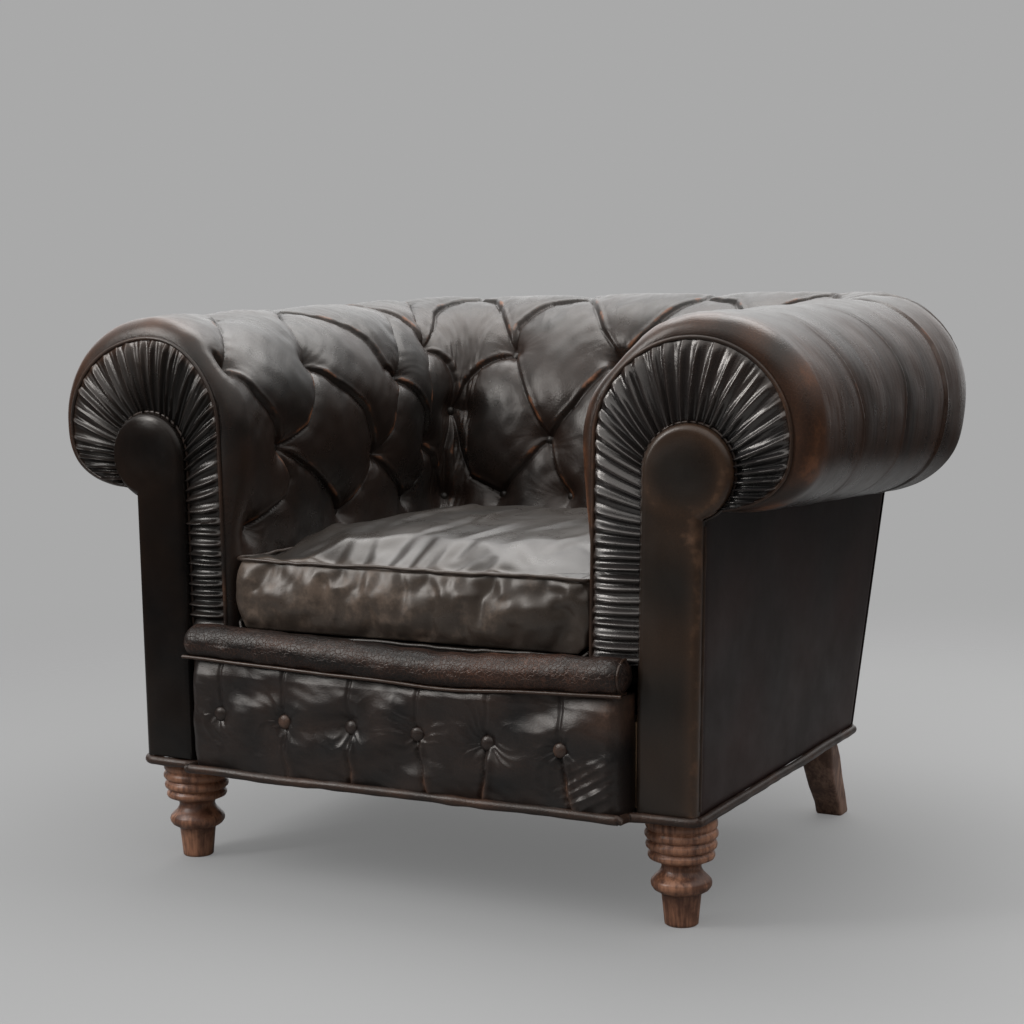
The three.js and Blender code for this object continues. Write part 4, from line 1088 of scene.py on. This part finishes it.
# The front is rubbed lighter towards the sitter's right: partly wear, and partly a painted highlight
# standing in for the light patches there.
front = smooth((-0.375 - y) / 0.02)
wear_and_painted_light = 0.12 + (0.74 - x) * front + 0.16 * hills(x, y + z, 0.10, 34) * front
wear_and_painted_light = np.clip(wear_and_painted_light + 0.08 * hills(x, y, 0.12, 35), 0, 1)
for mark, values in (("rub_and_painted_light", wear_and_painted_light), ("fold", 0 * wear_and_painted_light)):
    kept = cushion.data.attributes.new(mark, "FLOAT", "POINT")
    kept.data.foreach_set("value", values.astype(np.float32))
cushion.data.materials.clear()
cushion.data.materials.append(cushion_hide)
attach(cushion, "root")
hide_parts("seat_cushion")
cushion_piping = hide_material("cushion_piping_hide", (0.020, 0.017, 0.015), (0.16, 0.09, 0.055), 0.34,
                               0.2, 0.3)
for name, at_top in (("cushion_top_piping", True), ("cushion_foot_piping", False)):
    low, high = np.array(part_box("seat_cushion"))
    half_x, rear = high[:2] - INSET + 0.001
    loop = flared(cushion_outline(300, half_x, low[1] + INSET - 0.001, rear, CUSHION_CORNER))
    loop = np.concatenate([loop, loop[:1]])
    height = CUSHION_TOP if at_top else drooping(loop[:, 1])
    x, y = loop.T
    wave = 0.0016 * hills(x, y, 0.11, 36) + 0.0006 * hills(x, y, 0.03, 37)
    loop = np.concatenate([loop, (height + wave)[:, None]], axis=1)
    # The foot piping is given almost no rub, which keeps it darker than the top piping where it lies under
    # the cushion's edge: painted shade.
    marks = {"rub_and_painted_light": 0.45 if at_top else 0.05, "fold": 0.0}
    fit(name, closed_net(name, tube(loop, 0.0024, 8), marks), cushion_piping)

# ---------------------------------------------------------------- front lip
# A round roll of stuffing along the seat's front edge, covered in brittle, cracked hide and piped
# underneath where it is sewn to the border.
LIP_HALF, LIP_Y, LIP_Z = 0.307, -0.412, 0.2973
LIP_DEEP, LIP_HIGH = 0.024, 0.022


def lip_sag(x):
    """How far the lip has sunk: a bell curve of the distance from a point left of its middle."""
    return -0.0090 * np.exp(-(((x - 0.06) / 0.17) ** 2))


lip_hide = hide_material("lip_hide", (0.0085, 0.0078, 0.0076), (0.17, 0.075, 0.045), 0.35, 0.8, 0.55, 0.37)
round_lip = np.linspace(0, 2 * np.pi, 72, endpoint=False)
x, angle = np.meshgrid(np.linspace(-LIP_HALF, LIP_HALF, 300), round_lip, indexing="ij")
to_end = np.clip((LIP_HALF - np.abs(x)) / 0.017, 0.02, 1)
size = np.sqrt(1 - (1 - to_end) ** 2)
skin_rise = 0.0010 * hills(x, angle * 0.024, 0.05, 81) + 0.0002 * hills(x, angle * 0.024, 0.014, 82)
skin_rise *= size
y = LIP_Y - (LIP_DEEP * size + skin_rise) * np.cos(angle)
z = LIP_Z + (LIP_HIGH * size + skin_rise) * np.sin(angle) + 0.0012 * hills(x, x * 0, 0.25, 83) + lip_sag(x)
browned = 0.52 * np.exp(-((x - 0.15) / 0.09) ** 2)
rub_and_painted_light = np.clip(0.08 + browned + 0.26 * hills(x, angle * 0.03, 0.05, 84), 0, 1)
rings = np.stack([x, y, z], -1)
lip = fit("front_lip_roll", closed_net("front_lip_roll", rings, {"rub_and_painted_light": rub_and_painted_light, "fold": 0.0}), lip_hide,
          ("front_lip",))
x = np.linspace(-LIP_HALF + 0.002, LIP_HALF - 0.003, 220)
z = 0.2772 + 0.0016 * hills(x, x * 0, 0.16, 85) + lip_sag(x)
under_lip = np.stack([x, np.full(220, -0.4285), z], -1)
piping = closed_net("lip_piping", tube(under_lip, 0.0024, 8), {"rub_and_painted_light": 0.55, "fold": 0.0})
fit("lip_piping", piping, piping_hide)
angle = np.radians(np.linspace(-100, 100, 40))
x = LIP_HALF - 0.0065 + 0 * angle
end_seam = np.stack([x, LIP_Y - 0.0205 * np.cos(angle), LIP_Z + 0.0195 * np.sin(angle)], -1)
piping = closed_net("lip_end_piping", tube(end_seam, 0.0017, 8), {"rub_and_painted_light": 0.4, "fold": 0.0})
fit("lip_end_piping", piping, piping_hide)

# ---------------------------------------------------------------- buttoned front border
# The front rail's padded apron: six buttons in a row, each with a pleat down to the bottom edge
# and a slight pull above it, in hide that is scuffed grey and torn brown at the pleats.
BORDER_HALF = 0.303
BORDER_BACK = -0.3873
BORDER_HEIGHT = [0.1365, 0.160, 0.195, 0.225, 0.258, 0.2748]
BORDER_FRONT = [-0.4240, -0.428, -0.430, -0.430, -0.426, -0.420]  # its plain face at those heights
BUTTON_Z = 0.208
BUTTONS_X = [-0.250, -0.155, -0.060, 0.035, 0.130, 0.225]
PLEAT_BOW = [0.0, 0.002, -0.002, 0.012, -0.010, 0.014]  # how far each pleat drifts at its foot
PLEAT_DEEP = [0.0, 0.0018, 0.0036, 0.0040, 0.0042, 0.0044]
up = np.linspace(BORDER_HEIGHT[0], BORDER_HEIGHT[-1], 110)
x, z = np.meshgrid(np.linspace(-BORDER_HALF, BORDER_HALF, 380), up, indexing="ij")
face = np.interp(z, BORDER_HEIGHT, BORDER_FRONT)
rise = 0.0034 * hills(x, z * 1.3, 0.075, 91) + 0.0005 * hills(x, z * 1.6, 0.030, 92)
fold = np.zeros(x.shape)
torn = np.zeros(x.shape)
for number, (bx, bow, deep) in enumerate(zip(BUTTONS_X, PLEAT_BOW, PLEAT_DEEP)):
    away = np.hypot(x - bx, z - BUTTON_Z)
    angle = np.arctan2(z - BUTTON_Z, x - bx)
    rise -= 0.0065 * np.exp(-((away / 0.013) ** 2)) + 0.0030 * np.exp(-((away / 0.030) ** 2))
    spokes = 1 - np.abs(np.sin(angle * 3.5 + 3 * hills(angle, away * 30, 2.2, 95 + number)))
    rise += 0.0024 * spokes * np.exp(-away / 0.026) * (1 - np.exp(-((away / 0.008) ** 2)))
    down = np.clip((BUTTON_Z - z) / 0.066, 0, 1)
    aside = x - bx - bow * down ** 1.6 - 0.0015 * np.sin(down * 7 + number)
    below = smooth((BUTTON_Z - z) / 0.006)
    ridge = 0.75 * np.exp(-(((aside - 0.006) / 0.005) ** 2))
    rise += below * deep * (ridge - np.exp(-((aside / 0.0028) ** 2)))
    above = smooth((z - BUTTON_Z) / 0.012)
    rise -= above * 0.0019 * np.exp(-(((x - bx - 0.001 * np.sin(z * 90 + number)) / 0.0023) ** 2))
    deepest = deep / max(PLEAT_DEEP)
    fold = np.maximum(fold, 0.35 * below * np.exp(-((aside / 0.004) ** 2)) * deepest)
    along_ridge = below * np.exp(-(((aside - 0.003) / 0.006) ** 2))
    torn = np.maximum(torn, along_ridge * smooth((down - 0.45) / 0.4) * deepest)
lean_fold = np.exp(-(((x - 0.262) / 0.05) ** 2)) * smooth((0.215 - z) / 0.03)
rise += lean_fold * 0.0022 * (1 - np.abs(hills(x * 0.7 - z * 1.2, x * 0.3 + z * 0.2, 0.030, 93)))
near_end = np.minimum((BORDER_HALF - np.abs(x)) / 0.020, 1)
rounded = np.maximum(np.sqrt(np.maximum(1 - (1 - near_end) ** 2, 0)), 0.08)
face = BORDER_BACK + (face - rise - BORDER_BACK) * rounded
patch = np.exp(-(((x - 0.285) / 0.035) ** 2) - (((z - 0.252) / 0.022) ** 2))
top_rub = 0.25 * smooth((x - 0.1) / 0.2) * smooth((z - 0.25) / 0.02)
rub_and_painted_light = np.clip(0.16 + 0.15 * hills(x, z, 0.05, 94) + 0.75 * torn + 0.85 * patch + top_rub, 0, 1)
front = np.stack([x, face, z], -1)
behind = front[:, ::-1][:, ::8].copy()
behind[..., 1] = BORDER_BACK
rub_and_painted_light, fold = (np.concatenate([mark, 0 * behind[..., 0]], axis=1) for mark in (rub_and_painted_light, fold))
rings = np.concatenate([front, behind], axis=1)
border_hide = hide_material("border_hide", (0.0100, 0.0101, 0.0106), (0.16, 0.085, 0.055), 0.34, 0.20,
                            0.35, 0.5)
border = fit("front_border_hide", closed_net("front_border_hide", rings, {"rub_and_painted_light": rub_and_painted_light, "fold": fold}),
             border_hide, ("front_border",))
STUD_R, STUD_RISE = 0.0094, 0.0048
MOST_WORN = (2, 6)  # the studs that have lost most of their dye
for number, bx in enumerate(BUTTONS_X, 1):
    i, j = np.argmin(np.abs(x[:, 0] - bx)), np.argmin(np.abs(z[0] - BUTTON_Z))
    middle = np.array([bx, face[i, j] - 0.0022, BUTTON_Z + 0.001 * math.sin(number * 2.1)])
    tilt = np.array([0.12 * math.sin(number * 1.7), -1.0, 0.1 * math.cos(number * 2.3)])
    rings = button_rings(middle, tilt / np.linalg.norm(tilt), STUD_R, STUD_RISE)
    marks = {"rub_and_painted_light": 0.3 + 0.5 * (number in MOST_WORN), "fold": 0.0}
    fit(f"border_stud_{number}", closed_net("border_stud", rings, marks), border_hide,
        (f"border_button_{number}",))

# ---------------------------------------------------------------- base welt
# A thick piping of worn hide nailed round the foot of the cover, with its ends meeting at the back.
WELT_Z, WELT_R = 0.1347, 0.0058
corner_turn = np.linspace(0, np.pi / 2, 8)
right_half = np.concatenate([
    np.stack([np.linspace(0.0003, 0.372, 60), np.full(60, 0.168)], -1),
    np.stack([0.372 + 0.015 * np.sin(corner_turn[1:]), 0.153 + 0.015 * np.cos(corner_turn[1:])], -1),
    np.stack([np.full(80, 0.387), np.linspace(0.150, -0.388, 80)], -1),
    np.stack([0.372 + 0.015 * np.cos(corner_turn[1:]), -0.390 - 0.015 * np.sin(corner_turn[1:])], -1),
    np.stack([np.linspace(0.368, 0.318, 10), np.full(10, -0.405)], -1),
    np.stack([0.308 - 0.007 * np.sin(corner_turn), -0.408 - 0.020 * (1 - np.cos(corner_turn))], -1),
    np.stack([np.linspace(0.296, 0.0, 80), np.full(80, -0.428)], -1)])
whole = np.concatenate([right_half, (right_half * [-1, 1])[::-1][1:]])
gap = np.linalg.norm(np.diff(whole, axis=0), axis=1)
length = np.concatenate([[0], np.cumsum(gap)])
where = np.linspace(0, length[-1], 900)
x, y = np.interp(where, length, whole[:, 0]), np.interp(where, length, whole[:, 1])
path = np.stack([x, y, WELT_Z + 0.0009 * hills(where, where * 0, 0.15, 86)], -1)
rub_and_painted_light = np.clip(0.42 + 0.35 * hills(where, where * 0, 0.05, 88), 0, 1)
thick = WELT_R + 0.0005 * hills(where, where * 0, 0.04, 87)
welt_hide = hide_material("base_welt_hide", (0.013, 0.011, 0.010), (0.15, 0.065, 0.035), 0.38, 0.4, 0.4)
piping = closed_net("base_welt_piping", tube(path, thick, 14), {"rub_and_painted_light": rub_and_painted_light[:, None], "fold": 0.0})
fit("base_welt_piping", piping, welt_hide, ("base_welt",))

# ---------------------------------------------------------------- front feet
# Turned hardwood feet: four reeds, a neck, a ring and a tapered toe, with a spigot up into the
# corner block. The polish is worn and the toe is scuffed.
wood_look, given, result = group("worn_wood", [
    ("Place", "NodeSocketVector", None),
    ("Rub", "NodeSocketFloat", 0.0),
    ("Dark", "NodeSocketColor", (0.05, 0.018, 0.009, 1)),
    ("Light", "NodeSocketColor", (0.22, 0.09, 0.045, 1)),
    ("Gloss", "NodeSocketFloat", 0.38)],
    [("Color", "NodeSocketColor"), ("Roughness", "NodeSocketFloat"), ("Height", "NodeSocketFloat")])
along_grain = {"Vector": given["Place"], "Scale": (1.0, 1.0, 0.09)}
long_way = node(wood_look, "ShaderNodeMapping", along_grain).outputs[0]
stripe = noise(wood_look, long_way, 260.0, 6.0, 0.6)
broad = noise(wood_look, long_way, 55.0, 3.0)
stain = noise(wood_look, given["Place"], 38.0, 5.0, 0.6)
half_stripe = calc(wood_look, "MULTIPLY", stripe, 0.5)
grain = calc(wood_look, "ADD", half_stripe, calc(wood_look, "MULTIPLY", broad, 0.5))
tone = mixed(wood_look, ramp(wood_look, grain, 0.35, 0.65), given["Dark"], given["Light"])
dirt = calc(wood_look, "ADD", stain, calc(wood_look, "MULTIPLY", given["Rub"], -0.35))
dirty = mixed(wood_look, 0.78, tone, given["Dark"])
dark_tone = mixed(wood_look, ramp(wood_look, dirt, 0.42, 0.62), tone, dirty)
wood_look.links.new(dark_tone, result.inputs["Color"])
rough = calc(wood_look, "ADD", given["Gloss"], calc(wood_look, "MULTIPLY", stain, 0.25))
wood_look.links.new(rough, result.inputs["Roughness"])
relief = calc(wood_look, "ADD", half_stripe, calc(wood_look, "MULTIPLY", stain, 0.5))
wood_look.links.new(relief, result.inputs["Height"])


def wood_material(name, dark, light, gloss, bump):
    """Wood with its grain upright, stained and worn by the piece's rub mark."""
    material, tree = blank_material(name)
    place = node(tree, "ShaderNodeTexCoord").outputs["Object"]
    wear_and_painted_light = node(tree, "ShaderNodeAttribute", attribute_name="rub_and_painted_light").outputs["Fac"]
    look = node(tree, "ShaderNodeGroup", node_tree=wood_look)
    tree.links.new(place, look.inputs["Place"])
    tree.links.new(wear_and_painted_light, look.inputs["Rub"])
    for label, value in (("Dark", (*dark, 1)), ("Light", (*light, 1)), ("Gloss", gloss)):
        look.inputs[label].default_value = value
    height = {"Height": look.outputs["Height"], "Strength": bump, "Distance": 0.001}
    relief = node(tree, "ShaderNodeBump", height)
    shader = node(tree, "ShaderNodeBsdfPrincipled", {
        "Base Color": look.outputs["Color"], "Roughness": look.outputs["Roughness"],
        "Normal": relief.outputs[0]})
    node(tree, "ShaderNodeOutputMaterial", {"Surface": shader.outputs[0]})
    return material


foot_wood = wood_material("foot_wood", (0.085, 0.034, 0.020), (0.42, 0.200, 0.115), 0.24, 0.3)
FOOT_X, FOOT_Y = 0.345, -0.352
# The foot's outline from the floor up, as (height, radius).
FOOT_LINE = [
    (0.0, 0.0006), (0.0, 0.0185), (0.0012, 0.0198), (0.012, 0.0208), (0.024, 0.0220),
    (0.036, 0.0233), (0.0385, 0.0240), (0.0395, 0.0275), (0.0425, 0.0325), (0.0465, 0.0352),
    (0.0500, 0.0358), (0.0535, 0.0348), (0.0575, 0.0312), (0.0615, 0.0268), (0.0655, 0.0240),
    (0.0695, 0.0230), (0.0735, 0.0245), (0.0765, 0.0290), (0.0780, 0.0345), (0.0795, 0.0378),
    (0.0820, 0.0392), (0.0850, 0.0390), (0.0875, 0.0372), (0.0890, 0.0362), (0.0905, 0.0385),
    (0.0930, 0.0412), (0.0960, 0.0418), (0.0990, 0.0408), (0.1010, 0.0390), (0.1022, 0.0383),
    (0.1038, 0.0408), (0.1065, 0.0428), (0.1095, 0.0430), (0.1125, 0.0416), (0.1142, 0.0400),
    (0.1155, 0.0405), (0.1175, 0.0420), (0.1210, 0.0424), (0.1250, 0.0416), (0.1278, 0.0400),
    (0.1284, 0.0330), (0.1332, 0.0325), (0.1334, 0.0120), (0.1846, 0.0118), (0.1850, 0.0006)]


def turned(line, middle, count=64):
    """A profile turned about an upright axis: each (height, radius) makes one circle."""
    height, radius = np.array(line).T
    angle = np.linspace(0, 2 * np.pi, count, endpoint=False)
    ring = np.stack([np.cos(angle), np.sin(angle)], -1)
    plan = np.array(middle) + radius[:, None, None] * ring
    return np.concatenate([plan, np.broadcast_to(height[:, None, None], (*plan.shape[:2], 1))], -1)


foot_line = np.array(FOOT_LINE)
steps = np.linspace(0, len(foot_line) - 1, (len(foot_line) - 1) * 3 + 1)
finer = np.stack([np.interp(steps, np.arange(len(foot_line)), foot_line[:, k]) for k in range(2)], -1)
rub_and_painted_light = np.exp(-(finer[:, 0] / 0.02) ** 2) * 0.5 + smooth((finer[:, 1] - 0.034) / 0.008) * 0.6
for side, which in ((1, "left"), (-1, "right")):
    rings = turned(finer, (side * FOOT_X, FOOT_Y))
    fit(f"{which}_turned_foot", closed_net("turned_foot", rings, {"rub_and_painted_light": rub_and_painted_light[:, None]}, crisp=42),
        foot_wood, (f"{which}_front_foot",))

# ---------------------------------------------------------------- back legs
# Sabre legs sawn from thick board, swept to the rear, running on up as the back posts inside.
LEG_HEIGHT = [0, 0.018, 0.047, 0.080, 0.105, 0.140, 0.250, 0.463, 0.560]
LEG_FRONT = [0.197, 0.189, 0.162, 0.139, 0.129, 0.126, 0.161, 0.243, 0.272]
PANEL_ROOM = 0.007  # the post stands this far inside the outside back
post_foot, post_top = outer_y(0.118) - PANEL_ROOM, outer_y(0.463) - PANEL_ROOM
REAR_HEIGHT = [0, 0.030, 0.060, 0.090, 0.118, 0.463, 0.560]
LEG_REAR = [0.230, 0.215, 0.194, 0.176, post_foot, post_top, post_top + 0.0291]
# The legs' colours are the wood's own, lightened: partly the wood, and partly painted light standing in
# for the light that reaches the legs under the chair.
leg_wood = wood_material("back_leg_wood", (0.125, 0.068, 0.047), (0.40, 0.235, 0.165), 0.42, 0.4)
post_low, post_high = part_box("left_back_leg_post")
height = np.concatenate([np.linspace(0, 0.150, 50), np.linspace(0.155, 0.560, 20)])
front_line = np.interp(height, LEG_HEIGHT, LEG_FRONT)
rear_line = np.interp(height, REAR_HEIGHT, LEG_REAR)
front_line[1:-1] = (front_line[:-2] + 2 * front_line[1:-1] + front_line[2:]) / 4
angle = np.linspace(0, 2 * np.pi, 48, endpoint=False)
px, py = superellipse(angle, 9)
outer_edge = post_high[0] - 0.008 * smooth((0.13 - height) / 0.13)
inner_edge = np.full(len(height), post_low[0])
base = 1 - 0.05 * (height < 0.0005)
middle_x, reach_x = (outer_edge + inner_edge) / 2, (outer_edge - inner_edge) / 2 * base
middle_y, reach_y = (front_line + rear_line) / 2, (rear_line - front_line) / 2 * base
rub_and_painted_light = 0.6 * np.exp(-(height / 0.03) ** 2)
x = middle_x[:, None] + reach_x[:, None] * px
y = middle_y[:, None] + reach_y[:, None] * py
z = np.broadcast_to(height[:, None], x.shape)
for side, which in ((1, "left"), (-1, "right")):
    leg = closed_net("sabre_leg", np.stack([side * x, y, z], -1), {"rub_and_painted_light": rub_and_painted_light[:, None]})
    fit(f"{which}_sabre_leg", leg, leg_wood, (f"{which}_back_leg_post",))

# ---------------------------------------------------------------- frame, webbing and springs
# Beech rails, posts and boards pegged together, jute webbing and hessian, and coil springs; these
# parts keep their own shapes and take only their finish here.
beech = wood_material("beech", (0.20, 0.12, 0.065), (0.42, 0.29, 0.17), 0.62, 0.3)
weave_look, given, result = group("plain_weave", [
    ("Place", "NodeSocketVector", None),
    ("Pitch", "NodeSocketFloat", 900.0),
    ("Thread", "NodeSocketColor", (0.3, 0.22, 0.12, 1)),
    ("Gap", "NodeSocketColor", (0.06, 0.04, 0.02, 1))],
    [("Color", "NodeSocketColor"), ("Height", "NodeSocketFloat")])
axes = node(weave_look, "ShaderNodeSeparateXYZ", {0: given["Place"]}).outputs


def ribs(across, pitch):
    """Threads side by side: the size of a sine wave of the distance across them times pitch."""
    wave = calc(weave_look, "SINE", calc(weave_look, "MULTIPLY", across, pitch), 0.0)
    return calc(weave_look, "ABSOLUTE", wave, 0.0)


threads = calc(weave_look, "MULTIPLY", ribs(axes["X"], given["Pitch"]), ribs(axes["Y"], given["Pitch"]))
soil = calc(weave_look, "MULTIPLY", noise(weave_look, given["Place"], 20.0, 5.0), 0.7)
toned = mixed(weave_look, ramp(weave_look, threads, 0.02, 0.4), given["Gap"], given["Thread"])
weave_look.links.new(mixed(weave_look, soil, toned, given["Gap"]), result.inputs["Color"])
weave_look.links.new(threads, result.inputs["Height"])


def cloth_material(name, thread, gap, pitch):
    """Plain-woven cloth with soiled patches."""
    material, tree = blank_material(name)
    look = node(tree, "ShaderNodeGroup", node_tree=weave_look)
    tree.links.new(node(tree, "ShaderNodeTexCoord").outputs["Object"], look.inputs["Place"])
    for label, value in (("Thread", (*thread, 1)), ("Gap", (*gap, 1)), ("Pitch", pitch)):
        look.inputs[label].default_value = value
    height = {"Height": look.outputs["Height"], "Strength": 0.5, "Distance": 0.0008}
    relief = node(tree, "ShaderNodeBump", height)
    shader = node(tree, "ShaderNodeBsdfPrincipled", {
        "Base Color": look.outputs["Color"], "Roughness": 0.92, "Normal": relief.outputs[0]})
    node(tree, "ShaderNodeOutputMaterial", {"Surface": shader.outputs[0]})
    return material


jute = cloth_material("jute", (0.34, 0.25, 0.13), (0.08, 0.055, 0.03), 1100.0)
black_cotton = cloth_material("black_cotton", (0.016, 0.016, 0.017), (0.004, 0.004, 0.004), 3000.0)
steel, tree = blank_material("spring_steel")
place = node(tree, "ShaderNodeTexCoord").outputs["Object"]
rust = ramp(tree, noise(tree, place, 60.0, 6.0, 0.65), 0.42, 0.62)
metal = node(tree, "ShaderNodeBsdfPrincipled", {
    "Base Color": mixed(tree, rust, (0.32, 0.31, 0.29, 1), (0.13, 0.05, 0.02, 1)),
    "Metallic": calc(tree, "SUBTRACT", 1.0, calc(tree, "MULTIPLY", rust, 0.8)),
    "Roughness": calc(tree, "ADD", 0.32, calc(tree, "MULTIPLY", rust, 0.4))})
node(tree, "ShaderNodeOutputMaterial", {"Surface": metal.outputs[0]})
for name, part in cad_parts.items():
    if name.startswith("web_") or name == "spring_hessian":
        finish = jute
    elif name.startswith("seat_spring"):
        finish = steel
    elif name.endswith(("_rail", "_board", "_post", "_block")):
        finish = beech
    else:
        continue
    part.data.materials.clear()
    part.data.materials.append(finish)

# Thin black cotton tacked under the rails against dust, a little slack in the middle.
low, high = np.array(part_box("dust_cover"))
FRONT_Y, BACK_Y, NARROW_Y = low[1], high[1], 0.112
y, share = np.meshgrid(np.linspace(FRONT_Y, BACK_Y, 90), np.linspace(-1, 1, 100), indexing="ij")
x = share * np.where(y < NARROW_Y, 0.372, 0.318)
slack = 0.0035 * np.cos(share * np.pi / 2) * np.sin(np.pi * (y - FRONT_Y) / (BACK_Y - FRONT_Y))
slack += 0.0006 * hills(x, y, 0.07, 99)
top = np.stack([x, y, 0.1354 - slack], -1)
under_side = top[:, ::-1].copy()
under_side[..., 2] -= 0.0008
cotton_mesh = closed_net("dust_cover_cloth", np.concatenate([top, under_side], axis=1))
cotton = fit("dust_cover_cloth", cotton_mesh, black_cotton, ("dust_cover",))

# ---------------------------------------------------------------- size
low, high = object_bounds()
